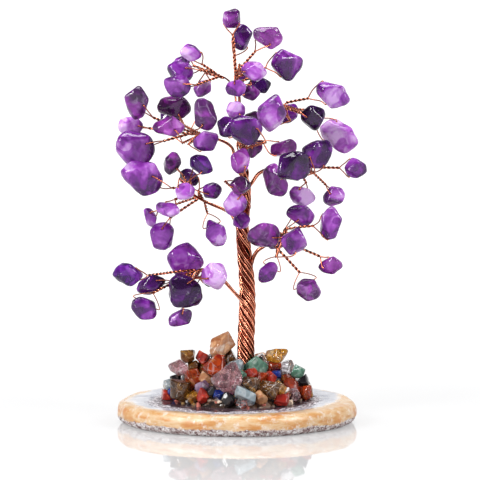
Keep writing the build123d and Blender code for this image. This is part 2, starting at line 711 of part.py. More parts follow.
# Foot: glue mound, pebbles and the slice
trunk_foot = trunk_axis(foot_height)
foot_radius = ring_radius(foot_height) + widest_strand / 2
mound_ball = (mound_radius ** 2 + mound_height ** 2) / (2 * mound_height)
ball_middle = np.array([*mound_middle, slice_thickness + mound_height - mound_ball])


def glue_mound():
    """A low dome on the slice, a faceted cap of a ball, bored where the trunk stands."""
    corners = []
    for height_share in mound_ring_shares:
        level = slice_thickness + mound_height * height_share
        radius = math.sqrt(mound_ball ** 2 - (level - ball_middle[2]) ** 2)
        for index in range(mound_sides):
            turn = math.tau * index / mound_sides
            across, back = radius * math.cos(turn), radius * math.sin(turn)
            corners.append((mound_middle[0] + across, mound_middle[1] + back, level))
    bore_radius = foot_radius + mound_bore_clearance
    bore_plane = Plane((*trunk_foot, slice_thickness - bore_overrun))
    section = bore_plane * RegularPolygon(bore_radius, mound_bore_sides, major_radius=False)
    return ConvexPolyhedron(corners) - extrude(section, amount=2 * bore_overrun)


def pebble_middle(column, row, width):
    """Where a pebble seen at a pixel lies: where its sight line first meets the mound or the slice."""
    reach = mound_ball + width * pebble_lift_share
    depths = np.linspace(-slice_diameter / 2, mound_middle[1], sight_steps)
    points = np.array([place(column, row, depth) for depth in depths])
    gaps = np.linalg.norm(points - ball_middle, axis=1) - reach
    met = (gaps < 0) | (points[:, 2] < slice_thickness + width * pebble_lift_share)
    return points[met.argmax() if met.any() else gaps.argmin()]


def clear_of_trunk(middle, width):
    """A pebble's middle, moved level and outwards where it would stand in the trunk."""
    least = foot_radius + stone_clearance + width * pebble_lift_share
    flat = middle[:2] - trunk_foot
    apart = np.linalg.norm(flat)
    if apart < least:
        middle[:2] = trunk_foot + flat / apart * least
        middle[2] = math.sqrt((mound_ball + width * pebble_lift_share) ** 2
                              - ((middle - ball_middle)[:2] ** 2).sum()) + ball_middle[2]
    return middle


def pebble_stone(middle, length, width, turn, seed):
    """A tumbled pebble: facets in directions spread evenly over a ball, at an oval's distances."""
    random = np.random.default_rng(seed)
    outward = unit((middle - ball_middle) * np.array([1, 1, 0]))
    level = np.array([-outward[1], outward[0], 0])
    normal = unit(middle - ball_middle)
    across = np.cross(normal, level)
    angle = math.radians(turn)
    axes = np.array([level * math.cos(angle) + across * math.sin(angle),
                     across * math.cos(angle) - level * math.sin(angle), normal])
    half = np.array([length, width, (length + width) / 2 * pebble_depth_share]) / 2
    shift = random.uniform(0, math.tau)
    index = np.arange(pebble_facets)
    height = 1 - (2 * index + 1) / pebble_facets
    turns = index * golden_turn + shift
    flat = np.sqrt(1 - height ** 2)
    directions = np.column_stack((flat * np.cos(turns), flat * np.sin(turns), height))
    distances = np.linalg.norm(directions * half, axis=1)
    distances *= random.uniform(*pebble_facet_shares, pebble_facets)
    normals = directions @ axes
    return Stone(middle, normals, normals @ middle + distances)


def lay_pebbles():
    """Pebbles in place: cut off at the mound, the slice, the trunk and half way to each other."""
    laid = []
    for seed, (kind, column, row, length, width, turn) in enumerate(pebbles):
        size = (length * mm_per_px * pebble_growth, width * mm_per_px * pebble_growth)
        laid.append((kind, pebble_stone(clear_of_trunk(pebble_middle(column, row, size[1]), size[1]),
                                        *size, turn, seed)))
    kinds = iter(back_pebble_kinds * len(back_pebble_kinds))
    for radius, count in zip(back_ring_radii, back_ring_counts):
        for index in range(count):
            angle = back_ring_start + back_ring_sweep * (index + half_step_share) / count
            spot = np.array([math.cos(angle), math.sin(angle), 0]) * radius + np.array([*mound_middle, 0])
            height = math.sqrt(max(mound_ball ** 2 - radius ** 2, 0)) + ball_middle[2]
            lift = back_pebble_size[1] * pebble_lift_share
            spot[2] = max(height + lift, slice_thickness + back_pebble_size[1] / 2)
            seed = len(laid)
            size = [value * random_share for value, random_share in
                    zip(back_pebble_size, np.random.default_rng(seed).uniform(*back_size_shares, 2))]
            laid.append((next(kinds), pebble_stone(spot, *size, seed * pebble_turn_step, seed)))
    stones = [stone for _, stone in laid]
    middles = np.array([stone.middle for stone in stones])
    cuts = []
    for index, stone in enumerate(stones):
        outward = unit(stone.middle - ball_middle)
        from_trunk = unit(np.array([*(stone.middle[:2] - trunk_foot), 0]))
        normals = [-outward, np.array([0.0, 0.0, -1.0]), -from_trunk]
        distances = [-(outward @ ball_middle + mound_ball + seat_clearance),
                     -(slice_thickness + seat_clearance),
                     -(from_trunk[:2] @ trunk_foot + foot_radius + stone_clearance)]
        for other_index, other in enumerate(stones):
            apart = np.linalg.norm(middles[other_index] - stone.middle)
            if other_index == index or apart > pebble_reach:
                continue
            way = (other.middle - stone.middle) / apart
            own_reach = stone.exit_distance(stone.middle, way)
            other_reach = other.exit_distance(other.middle, -way)
            border = apart * own_reach / (own_reach + other_reach)
            normals.append(way)
            distances.append(way @ stone.middle + min(border, apart) - seat_clearance / 2)
        cuts.append((np.array(normals), np.array(distances)))
    for stone, (normals, distances) in zip(stones, cuts):
        stone.add_facets(normals, distances)
    return laid


def agate_slice():
    """The slice as a ruled loft through wavy outlines, widest a little above the middle."""
    rings = []
    for height_share, radius_share in slice_ring_shares:
        ring = []
        for index in range(slice_points):
            turn = math.tau * index / slice_points
            wave = 1
            for count, share, phase in slice_wave_shares:
                wave += share * math.cos(count * turn + phase)
            radius = slice_diameter / 2 * radius_share * wave
            level = slice_thickness * height_share
            ring.append((radius * math.cos(turn), radius * math.sin(turn), level))
        rings.append(Wire.make_polygon(ring))
    return Solid.make_loft(rings, ruled=True)


strands = {name: Strand(name) for name in limbs}
all_chips = []
for seed, (limb, outline, *size) in enumerate(chips):
    all_chips.append(Chip(limb, outline, *size, seed))
hanging = {}
for name, (limb, outline, *size, hang) in hanging_chips.items():
    hanging[name] = Chip(limb, outline, *size, len(all_chips), hang)
    all_chips.append(hanging[name])
settle_chips(all_chips, strands)
for chip in all_chips:
    chip.drill(strands[chip.limb].line(strands[chip.limb].end))
stems = ease_stems(start_stems(all_chips, strands), all_chips, strands)
laid_pebbles = lay_pebbles()

os.makedirs(parts_folder, exist_ok=True)


def save(shapes, node):
    """Write one node, which holds one solid or a group of separate ones."""
    solids = [solid for shape in shapes for solid in shape.solids()]
    export_step(Compound(children=solids), f"{parts_folder}/{node}.step")


save([agate_slice()], "agate_slice")
save([glue_mound()], "glue_mound")
for name, strand in strands.items():
    save([bent_wire(strand.line(strand.stations), strand.radius_at(strand.stations), strand_sides, True)],
         f"strand_{name}")
    twigs = [twig_solid(stem, chip.loop) for stem, chip in zip(stems, all_chips) if chip.limb == name]
    save(twigs, f"twigs_{name}")
    save([chip.solid() for chip in all_chips if chip.limb == name and not chip.hangs], f"chips_{name}")
for name, chip in hanging.items():
    save([chip.solid()], name)
for kind in back_pebble_kinds:
    save([stone.solid() for stone_kind, stone in laid_pebbles if stone_kind == kind], f"pebbles_{kind}")
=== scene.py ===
"""Gemstone tree on an agate slice: amethyst chips on twisted copper wire, pebbles round the foot.
Metres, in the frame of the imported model."""

import json
import math

import bpy
import numpy as np
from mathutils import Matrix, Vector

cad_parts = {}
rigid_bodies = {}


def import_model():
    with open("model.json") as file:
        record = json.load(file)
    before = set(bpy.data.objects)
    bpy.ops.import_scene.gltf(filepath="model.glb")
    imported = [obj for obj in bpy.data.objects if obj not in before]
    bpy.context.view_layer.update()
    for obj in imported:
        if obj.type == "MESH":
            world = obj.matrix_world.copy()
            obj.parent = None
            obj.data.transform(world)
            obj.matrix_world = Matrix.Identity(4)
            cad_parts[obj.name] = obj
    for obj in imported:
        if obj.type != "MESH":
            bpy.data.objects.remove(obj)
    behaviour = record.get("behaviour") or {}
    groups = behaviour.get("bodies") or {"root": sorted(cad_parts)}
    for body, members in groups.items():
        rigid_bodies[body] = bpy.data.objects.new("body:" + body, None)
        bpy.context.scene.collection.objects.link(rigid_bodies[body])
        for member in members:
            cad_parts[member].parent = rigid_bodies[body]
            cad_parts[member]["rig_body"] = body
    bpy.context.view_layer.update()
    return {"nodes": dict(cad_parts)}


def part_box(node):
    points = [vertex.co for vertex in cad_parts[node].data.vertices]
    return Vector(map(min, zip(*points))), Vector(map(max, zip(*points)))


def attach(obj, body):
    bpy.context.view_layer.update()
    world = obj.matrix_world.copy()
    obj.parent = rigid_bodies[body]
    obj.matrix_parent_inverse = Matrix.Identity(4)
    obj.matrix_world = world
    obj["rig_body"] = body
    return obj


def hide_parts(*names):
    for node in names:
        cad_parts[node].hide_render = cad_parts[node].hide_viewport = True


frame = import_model()
millimetre = 0.001

# What the frame holds

# Metres: corners nearer than this are one, a face this small (square metres) has no plane, a plane
# may have points this far in front, and a strand's foot is this deep
merge_distance = 2e-6
smallest_face = 1e-10
plane_slack = 8e-6
foot_depth = 2e-5
ring_neighbours = 6


def node_names(start):
    """The names of the frame's pieces that begin so, in order."""
    return sorted(name for name in frame["nodes"] if name.startswith(start))


def islands(node):
    """The separate solids of a CAD piece as (points, triangles), in their order, with doubled
    corners merged. A corner takes its lowest neighbour's label until nothing changes."""
    mesh = frame["nodes"][node].data
    mesh.calc_loop_triangles()
    points = np.empty(len(mesh.vertices) * 3, np.float32)
    mesh.vertices.foreach_get("co", points)
    corners = np.empty(len(mesh.loop_triangles) * 3, np.int32)
    mesh.loop_triangles.foreach_get("vertices", corners)
    points = points.reshape(-1, 3).astype(float)
    _, first, merged = np.unique(np.round(points / merge_distance), axis=0,
                                 return_index=True, return_inverse=True)
    points = points[first]
    triangles = merged.ravel()[corners].reshape(-1, 3)
    distinct = (triangles != np.roll(triangles, 1, axis=1)).all(axis=1)
    triangles = triangles[distinct]
    label = np.arange(len(points))
    while True:
        low = label[triangles].min(axis=1)
        new = label.copy()
        for corner in range(3):
            np.minimum.at(new, triangles[:, corner], low)
        new = new[new]
        if (new == label).all():
            break
        label = new
    groups = label[triangles[:, 0]]
    found = []
    for group in dict.fromkeys(groups.tolist()):
        own = triangles[groups == group]
        used, numbers = np.unique(own, return_inverse=True)
        found.append((points[used], numbers.reshape(-1, 3)))
    return found


def outer_planes(points, triangles):
    """Planes of the triangles with the whole solid behind them, and the bore's axis and middle.
    A bore's wall has the solid on both sides, and its normals are square to the axis."""
    a, b, c = (points[triangles[:, k]] for k in range(3))
    cross = np.cross(b - a, c - a)
    area = np.linalg.norm(cross, axis=1) / 2
    keep = area > smallest_face
    a, b, c, cross, area = a[keep], b[keep], c[keep], cross[keep], area[keep]
    normals = cross / (2 * area)[:, None]
    distances = (normals * a).sum(axis=1)
    outer = (points @ normals.T - distances).max(axis=0) < plane_slack
    centres = (a + b + c) / 3
    middle = (centres[outer] * area[outer, None]).sum(axis=0) / area[outer].sum()
    _, first = np.unique(np.round(normals[outer], 2), axis=0, return_index=True)
    planes = normals[outer][first], distances[outer][first]
    if outer.all():
        return planes, middle, None, None
    wall, weight = normals[~outer], area[~outer]
    axis = np.linalg.eigh((wall * weight[:, None]).T @ wall)[1][:, 0]
    core = (centres[~outer] * weight[:, None]).sum(axis=0) / weight.sum()
    return planes, middle, axis, core


def ring_line(points, triangles, from_foot=False):
    """Middles and radii of a wire's rings in order: each ring is the last ring's fresh neighbours.
    The first ring is the lowest, or an end, whose corners have fewer neighbours than the rest."""
    sides = np.vstack((triangles[:, :2], triangles[:, 1:], triangles[:, ::2]))
    edges = np.unique(np.sort(sides, axis=1), axis=0)
    near = [[] for _ in points]
    for a, b in edges:
        near[a].append(b)
        near[b].append(a)
    if from_foot:
        ring = np.flatnonzero(points[:, 2] < points[:, 2].min() + foot_depth).tolist()
    else:
        ends = [k for k, others in enumerate(near) if len(others) < ring_neighbours]
        ring = sorted({ends[0], *(k for k in near[ends[0]] if k in ends)})
        ring = sorted({*ring, *(k for k in ends if sum(m in near[k] for m in ring) > 1)})
    order, seen = [], set()
    while ring:
        order.append(ring)
        seen.update(ring)
        ring = sorted({m for k in ring for m in near[k]} - seen)
    middles = np.array([points[ring].mean(axis=0) for ring in order])
    radii = np.array([np.linalg.norm(points[ring] - middle, axis=1).mean()
                      for ring, middle in zip(order, middles)])
    return middles, radii


# Curves and surfaces


def unit(vectors):
    """Vectors at length one."""
    return vectors / np.linalg.norm(vectors, axis=-1, keepdims=True)


def lengths(line):
    """How far along a line each of its points lies."""
    return np.concatenate(([0], np.cumsum(np.linalg.norm(np.diff(line, axis=0), axis=1))))


def direction(turn, first, second):
    """The direction at that turn from the first one towards the second."""
    return np.cos(turn) * first + np.sin(turn) * second


def flow(points, step):
    """Evenly spaced points on a smooth curve through points: cubic Hermite runs whose tangents are
    the differences of the neighbours over the chord length."""
    points = np.asarray(points, float)
    chords = lengths(points)
    slopes = np.stack([np.gradient(points[:, k], chords) for k in range(3)], axis=1)
    where = np.linspace(0, chords[-1], max(int(chords[-1] / step), 3) + 1)
    run = np.clip(np.searchsorted(chords, where, side="right") - 1, 0, len(points) - 2)
    length = (chords[run + 1] - chords[run])[:, None]
    t = (where - chords[run])[:, None] / length
    return (points[run] * (2 * t ** 3 - 3 * t ** 2 + 1)
            + points[run + 1] * (3 * t ** 2 - 2 * t ** 3)
            + slopes[run] * length * (t ** 3 - 2 * t ** 2 + t)
            + slopes[run + 1] * length * (t ** 3 - t ** 2)), where


def bend_through(points, step):
    """Evenly spaced points on a uniform cubic B-spline, held at both ends by tripled points."""
    points = np.vstack((points[:1], points[:1], points, points[-1:], points[-1:]))
    count = len(points) - 3
    t = np.linspace(0, 1, 24, endpoint=False)[None, :, None]
    a, b, c, d = (points[k:k + count, None] for k in range(4))
    line = (a * (1 - t) ** 3 + b * (3 * t ** 3 - 6 * t ** 2 + 4)
            + c * (-3 * t ** 3 + 3 * t ** 2 + 3 * t + 1) + d * t ** 3) / 6
    line = np.vstack((line.reshape(-1, 3), points[-1:]))
    chords = lengths(line)
    where = np.linspace(0, chords[-1], max(int(chords[-1] / step), 6) + 1)
    return np.stack([np.interp(where, chords, line[:, k]) for k in range(3)], axis=1)


def frames(line):
    """Two directions square to a line and to each other along it, the first of them nearest to the
    direction in which the line is flattest."""
    tangent = unit(np.gradient(line, axis=0))
    flat = np.linalg.svd(line - line.mean(axis=0), full_matrices=False)[2][-1]
    first = unit(flat - (tangent @ flat)[:, None] * tangent)
    return first, np.cross(tangent, first)


def wrap(grid, through=False):
    """A closed mesh from a grid of points: columns run round, rows run along and either join up
    again (through) or end in a pole at the mean of the last row."""
    rows, columns = grid.shape[:2]
    index = np.arange(rows * columns).reshape(rows, columns)
    if through:
        index = np.vstack((index, index[:1]))
    beside = np.roll(index, -1, axis=1)
    quads = np.stack((index[:-1], beside[:-1], beside[1:], index[1:]), axis=-1).reshape(-1, 4)
    points = grid.reshape(-1, 3)
    if through:
        return points, quads, np.empty((0, 3), int)
    low, high = len(points), len(points) + 1
    points = np.vstack((points, grid[0].mean(axis=0), grid[-1].mean(axis=0)))
    first, last = index[0], index[-1]
    caps = np.vstack((np.stack((np.roll(first, -1), first, np.full(columns, low)), axis=-1),
                      np.stack((last, np.roll(last, -1), np.full(columns, high)), axis=-1)))
    return points, quads, caps


def tube(line, radii, sides):
    """A round wire: circles of the given radii, square to the line."""
    first, second = frames(line)
    turn = np.linspace(0, math.tau, sides, endpoint=False)[None, :, None]
    radii = np.broadcast_to(radii, len(line))[:, None, None]
    return wrap(line[:, None] + radii * direction(turn, first[:, None], second[:, None]))


def turned_out(points, quads, caps):
    """The same mesh with its faces pointing outwards: the sum of the tetrahedra between the faces
    and the origin, its volume, has to be positive."""
    a, b, c, d = (points[quads[:, k]] for k in range(4))
    volume = (np.cross(b - a, c - a) * a).sum() + (np.cross(c - a, d - a) * a).sum()
    if len(caps):
        a, b, c = (points[caps[:, k]] for k in range(3))
        volume += (np.cross(b - a, c - a) * a).sum()
    return (points, quads, caps) if volume > 0 else (points, quads[:, ::-1], caps[:, ::-1])


def new_object(name, data):
    """An object in the scene, with those data."""
    made = bpy.data.objects.new(name, data)
    bpy.context.scene.collection.objects.link(made)
    return made


def make_piece(name, shells, nodes, material, stand_in=True):
    """One piece from closed shells (points, quads, triangles, values by attribute name). It rides
    with its first node, and unless it is an extra it stands in for its nodes."""
    base, points, loops, totals, values = 0, [], [], [], {}
    for shell_points, quads, caps, attributes in shells:
        shell_points, quads, caps = turned_out(shell_points, quads, caps)
        points.append(shell_points)
        loops += [(quads + base).ravel(), (caps + base).ravel()]
        totals += [np.full(len(quads), 4), np.full(len(caps), 3)]
        for key, value in attributes.items():
            values.setdefault(key, []).append(value)
        base += len(shell_points)
    points, loops, totals = np.vstack(points), np.concatenate(loops), np.concatenate(totals)
    mesh = bpy.data.meshes.new(name)
    mesh.vertices.add(len(points))
    mesh.vertices.foreach_set("co", points.astype(np.float32).ravel())
    mesh.loops.add(len(loops))
    mesh.loops.foreach_set("vertex_index", loops.astype(np.int32))
    mesh.polygons.add(len(totals))
    mesh.polygons.foreach_set("loop_start", (np.cumsum(totals) - totals).astype(np.int32))
    mesh.polygons.foreach_set("use_smooth", np.ones(len(totals), bool))
    mesh.update(calc_edges=True)
    mesh.validate()
    for key, parts in values.items():
        layer = mesh.attributes.new(key, "FLOAT_COLOR", "POINT")
        layer.data.foreach_set("color", np.vstack(parts).astype(np.float32).ravel())
    mesh.materials.append(material)
    piece = new_object(name, mesh)
    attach(piece, frame["nodes"][nodes[0]]["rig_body"])
    if stand_in:
        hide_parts(*nodes)
    return piece


# Finishes


class Value:
    """A socket of a finish. Arithmetic on it adds Math nodes."""

    def __init__(self, finish, socket):
        self.finish, self.socket = finish, socket

    def combine(self, operation, first, second):
        return self.finish.node("ShaderNodeMath", {"operation": operation}, {0: first, 1: second})

    def __add__(self, other):
        return self.combine("ADD", self, other)

    __radd__ = __add__

    def __sub__(self, other):
        return self.combine("SUBTRACT", self, other)

    def __rsub__(self, other):
        return self.combine("SUBTRACT", other, self)

    def __mul__(self, other):
        return self.combine("MULTIPLY", self, other)

    __rmul__ = __mul__

    def below(self, other):
        """The smaller of the two."""
        return self.combine("MINIMUM", self, other)


class Finish:
    """One procedural material, or the world, built from nodes."""

    def __init__(self, name, library=bpy.data.materials, output="ShaderNodeOutputMaterial",
                 place="Object"):
        self.owner = library.new(name)
        self.owner.use_nodes = True
        self.tree = self.owner.node_tree
        self.tree.nodes.clear()
        self.output = self.tree.nodes.new(output)
        self.place = self.node("ShaderNodeTexCoord", out=place)

    def node(self, kind, settings=None, sockets=None, out=0):
        """A node of that type: first its settings, then its sockets' values or links."""
        node = self.tree.nodes.new(kind)
        for key, value in (settings or {}).items():
            if key == "stops":
                ramp = node.color_ramp
                while len(ramp.elements) < len(value):
                    ramp.elements.new(1)
                for element, (position, colour) in zip(ramp.elements, value):
                    element.position, element.color = position, (*colour, 1)
            else:
                setattr(node, key, value)
        for key, value in (sockets or {}).items():
            if isinstance(value, Value):
                self.tree.links.new(value.socket, node.inputs[key])
            else:
                node.inputs[key].default_value = value
        return Value(self, node.outputs[out])

    def noise(self, scale, detail=2.0, roughness=0.5, distortion=0.0, place=None):
        """Cloudy noise."""
        return self.node("ShaderNodeTexNoise", {},
                         {"Vector": place or self.place, "Scale": scale, "Detail": detail,
                          "Roughness": roughness, "Distortion": distortion})

    def cells(self, scale, feature="F1", out="Distance"):
        """Cells round scattered points."""
        return self.node("ShaderNodeTexVoronoi", {"feature": feature},
                         {"Vector": self.place, "Scale": scale}, out)

    def ramp(self, value, *stops):
        """A colour by value, between stops of (position, colour)."""
        return self.node("ShaderNodeValToRGB", {"stops": stops}, {"Fac": value})

    def step(self, value, low, high):
        """0 below low, 1 above high, smooth between them."""
        return self.node("ShaderNodeMapRange", {"interpolation_type": "SMOOTHSTEP"},
                         {"Value": value, "From Min": low, "From Max": high})

    def mix(self, share, first, second):
        """Colours mixed by a share."""
        return self.node("ShaderNodeMix", {"data_type": "RGBA"}, {0: share, 6: first, 7: second}, 2)

    def bump(self, height, strength, distance, below=None):
        """A bumped normal, on top of the one below."""
        sockets = {"Height": height, "Strength": strength, "Distance": distance}
        if below:
            sockets["Normal"] = below
        return self.node("ShaderNodeBump", {}, sockets)

    def split(self, colour, out):
        """One channel of a colour."""
        return self.node("ShaderNodeSeparateColor", {}, {0: colour}, out)

    def axis(self, out):
        """The place along one axis."""
        return self.node("ShaderNodeSeparateXYZ", {}, {0: self.place}, out)

    def surface(self, shader):
        """The material or world, with that shader as its surface."""
        self.tree.links.new(shader.socket, self.output.inputs["Surface"])
        return self.owner

    def blend(self, share, first, second):
        """Shaders mixed by a share."""
        return self.node("ShaderNodeMixShader", {}, {0: share, 1: first, 2: second})

    def principled(self, **sockets):
        """The plain shader, its sockets named with _ for a space."""
        return self.node("ShaderNodeBsdfPrincipled", {},
                         {key.replace("_", " "): value for key, value in sockets.items()})


def colour(*channels):
    """An opaque colour."""
    return (*channels, 1)


quartz_ior = 1.54


def amethyst():
    """Purple quartz, pale and milky to nearly black. The stone attribute holds the place along the
    stone, the depth of colour, the milkiness and the redness."""
    f = Finish("amethyst_chip")
    stone = f.node("ShaderNodeAttribute", {"attribute_name": "stone"})
    along, depth, milk = (f.split(stone, channel) for channel in ("Red", "Green", "Blue"))
    warmth = f.node("ShaderNodeAttribute", {"attribute_name": "stone"}, out="Alpha")
    cloud = f.noise(230, 3, 0.55, 0.6)
    bands = f.noise(95, 2, 0.5, 1.4)
    zone = f.step(f.noise(120, 1, 0.5, 0.8), 0.47, 0.53) - 0.5
    tone = (0.06 + depth + (along - 0.5) * 0.34 + (cloud - 0.5) * 0.6 + (bands - 0.5) * 0.9
            + zone * 0.24)
    cool = f.ramp(tone, (0.0, (0.58, 0.36, 0.74)), (0.2, (0.33, 0.075, 0.56)),
                  (0.42, (0.16, 0.013, 0.34)), (0.66, (0.048, 0.003, 0.13)),
                  (1.0, (0.010, 0.001, 0.028)))
    warm = f.ramp(tone, (0.0, (0.66, 0.40, 0.70)), (0.2, (0.44, 0.085, 0.48)),
                  (0.42, (0.24, 0.017, 0.26)), (0.66, (0.085, 0.005, 0.095)),
                  (1.0, (0.018, 0.002, 0.022)))
    body = f.mix(warmth, cool, warm)
    veil = f.step(f.noise(330, 4, 0.6, 0.8), 0.5, 0.72) * milk
    body = f.mix(veil * 0.4 + milk * 0.06, body, colour(0.60, 0.46, 0.70))
    pits = f.noise(2600, 3, 0.6)
    waves = f.noise(300, 2, 0.5)
    normal = f.bump(waves, 0.25, 0.0006, f.bump(pits, 0.06, 0.0001))
    rough = 0.03 + f.step(f.noise(500, 3), 0.45, 0.8) * 0.12
    cloudy = f.principled(Base_Color=body, Roughness=rough, IOR=quartz_ior, Specular_IOR_Level=0.3,
                          Normal=normal, Subsurface_Weight=0.12,
                          Subsurface_Radius=(0.9, 0.3, 1.0), Subsurface_Scale=0.0012)
    glass = f.principled(Base_Color=f.mix(0.15, body, colour(0.50, 0.10, 0.70)), Roughness=rough,
                         IOR=quartz_ior, Specular_IOR_Level=0.35, Normal=normal,
                         Transmission_Weight=1.0)
    clear = f.step(1 - milk - depth * 0.35 + (bands - 0.5) * 0.8, 0.1, 1.0) * 0.5
    return f.surface(f.blend(clear, cloudy, glass))


def copper():
    """Drawn copper wire. The groove attribute holds painted shade: how deep a point lies between
    wires, where painted shade makes it dark red-brown, near black, and how tarnished the wire is."""
    f = Finish("copper_wire")
    state = f.node("ShaderNodeAttribute", {"attribute_name": "groove"})
    groove, tarnish = f.split(state, "Red"), f.split(state, "Green")
    patches = f.step(f.noise(420, 3, 0.6), 0.42, 0.72)
    worn = patches * 0.45 + tarnish * 0.5
    bright = f.mix(worn, colour(0.93, 0.36, 0.22), colour(0.52, 0.12, 0.05))
    # Painted shade: near black red-brown where a point lies deep between wires
    base = f.mix(f.step(groove, 0.06, 0.62), bright, colour(0.09, 0.007, 0.004))
    rough = 0.17 + patches * 0.1 + groove * 0.2
    normal = f.bump(f.noise(3200, 2), 0.12, 0.00005)
    return f.surface(f.principled(Base_Color=base, Roughness=rough, Metallic=1.0, Normal=normal))


# The agate's zones by distance from the middle or by height: where each border begins and ends.
# Nearer the front, the inner borders lie further out and the outer borders further in.
dark_border = 0.0275, 0.0290
crystal_border = 0.0315, 0.0345
pale_border = 0.0385, 0.0405
rim_border = 0.0425, 0.0400
face_height = 0.0070, 0.0078
bark_top = 0.0026, 0.0033
inner_shift, outer_shift = 0.09, 0.07


def slice_finish():
    """Agate slice: dark polished middle, a ring of glittering crystals, a pale polished zone, a tan
    band over the rounded rim and sugary grey and brown bark below it."""
    f = Finish("agate_slice")
    level = f.node("ShaderNodeVectorMath", {"operation": "MULTIPLY"}, {0: f.place, 1: (1, 1, 0)})
    radius = f.node("ShaderNodeVectorMath", {"operation": "LENGTH"}, {0: level}, "Value")
    height, front = f.axis("Z"), f.axis("Y") * -1
    reach = radius + (f.noise(38, 3, 0.55) - 0.5) * 0.012 + (f.noise(190, 3, 0.6) - 0.5) * 0.005
    inner, outer = reach - front * inner_shift, reach + front * outer_shift
    grain = f.split(f.cells(1000, out="Color"), "Red")
    fine = f.split(f.cells(2300, out="Color"), "Green")
    dark = f.ramp(f.noise(110, 4, 0.6, 0.5), (0.3, (0.030, 0.017, 0.022)),
                  (0.5, (0.075, 0.045, 0.055)), (0.75, (0.20, 0.15, 0.17)))
    speckle = f.step(grain * 0.5 + fine * 0.4 + (f.noise(240, 3) - 0.5) * 0.7, 0.36, 0.56)
    crystals = f.mix(speckle, colour(0.11, 0.08, 0.10), colour(0.80, 0.76, 0.79))
    pale = f.ramp(f.noise(75, 4, 0.6, 1.2), (0.3, (0.30, 0.31, 0.37)),
                  (0.5, (0.46, 0.47, 0.53)), (0.7, (0.68, 0.68, 0.71)))
    cream = f.ramp(f.noise(130, 4), (0.4, (0.62, 0.44, 0.27)), (0.62, (0.70, 0.62, 0.54)))
    past_dark, past_crystals = f.step(inner, *dark_border), f.step(inner, *crystal_border)
    top = f.mix(past_dark, dark, crystals)
    top = f.mix(past_crystals, top, pale)
    top = f.mix(f.step(outer, *pale_border), top, cream)
    flattened = f.node("ShaderNodeMapping", {}, {"Vector": f.place, "Scale": (1, 1, 3)})
    streaks = f.noise(85, 4, 0.6, place=flattened)
    band = f.ramp(streaks, (0.28, (0.48, 0.15, 0.028)), (0.42, (0.56, 0.28, 0.09)),
                  (0.54, (0.66, 0.47, 0.28)), (0.66, (0.56, 0.24, 0.06)))
    band = f.mix(f.step(f.noise(330, 4, 0.7), 0.52, 0.66) * 0.7, band, colour(0.74, 0.68, 0.62))
    sugar = f.noise(760, 4, 0.7) * 0.6 + grain * 0.25 + fine * 0.2
    bark = f.ramp(sugar, (0.34, (0.12, 0.05, 0.05)), (0.44, (0.34, 0.22, 0.21)),
                  (0.54, (0.62, 0.54, 0.53)), (0.66, (0.90, 0.87, 0.86)))
    edge_height = height + (f.noise(150, 3) - 0.5) * 0.0036 + (f.noise(700, 2) - 0.5) * 0.0016
    above_bark = f.step(edge_height, *bark_top)
    side = f.mix(above_bark, bark, band)
    on_top = f.step(outer, *rim_border) * f.step(height, *face_height)
    shown = f.mix(on_top, side, top)
    polished = on_top * (1 - past_dark * (1 - past_crystals))
    rough = 0.62 - above_bark * 0.28 - polished * 0.26 - on_top * 0.02
    crust = (sugar + fine * 0.5) * (1 - above_bark)
    glitter = (grain + fine) * (on_top - polished)
    normal = f.bump(crust, 0.9, 0.0008, f.bump(glitter, 0.4, 0.0004))
    return f.surface(f.principled(Base_Color=shown, Roughness=rough, IOR=quartz_ior, Normal=normal))


def mineral(name, dark, main, light, scale, clear, rough, stretch=(1, 1, 1)):
    """A tumbled pebble's finish: three colours by stretched cloudy noise with patches of painted
    shade and white lines painted as glints, and a share of it clear as glass."""
    f = Finish(name)
    place = f.node("ShaderNodeMapping", {},
                   {"Vector": f.place, "Scale": stretch, "Rotation": (0.4, 0.3, 0.5)})
    pattern = f.noise(scale, 4, 0.6, 0.5, place)
    base = f.ramp(pattern, (0.36, dark), (0.46, main), (0.56, main), (0.66, light))
    # Painted shade: patches darkened towards the dark colour
    shade_patches = f.step(f.noise(190, 1, 0.5, 1.5), 0.47, 0.55)
    base = f.mix(shade_patches * 0.6, base, colour(*dark))
    # Painted glints: white lines along cell edges, shaped like cracks, in the clear stones
    glint_lines = 1 - f.step(f.cells(330, "DISTANCE_TO_EDGE"), 0.0, 0.07)
    glint_share = glint_lines * f.step(f.noise(150, 2), 0.45, 0.6) * clear
    base = f.mix(glint_share * 0.7, base, colour(0.92, 0.90, 0.90))
    normal = f.bump(f.noise(700, 3), 0.12, 0.0003, f.bump(f.noise(260, 1), 0.5, 0.0012))
    body = f.principled(Base_Color=base, Roughness=rough + f.noise(900) * 0.06, IOR=quartz_ior,
                        Specular_IOR_Level=0.3, Normal=normal)
    if not clear:
        return f.surface(body)
    glass = f.principled(Base_Color=base, Roughness=rough * 0.5, IOR=quartz_ior, Normal=normal,
                         Transmission_Weight=1.0)
    return f.surface(f.blend(f.step(pattern, 0.25, 0.55) * clear, body, glass))


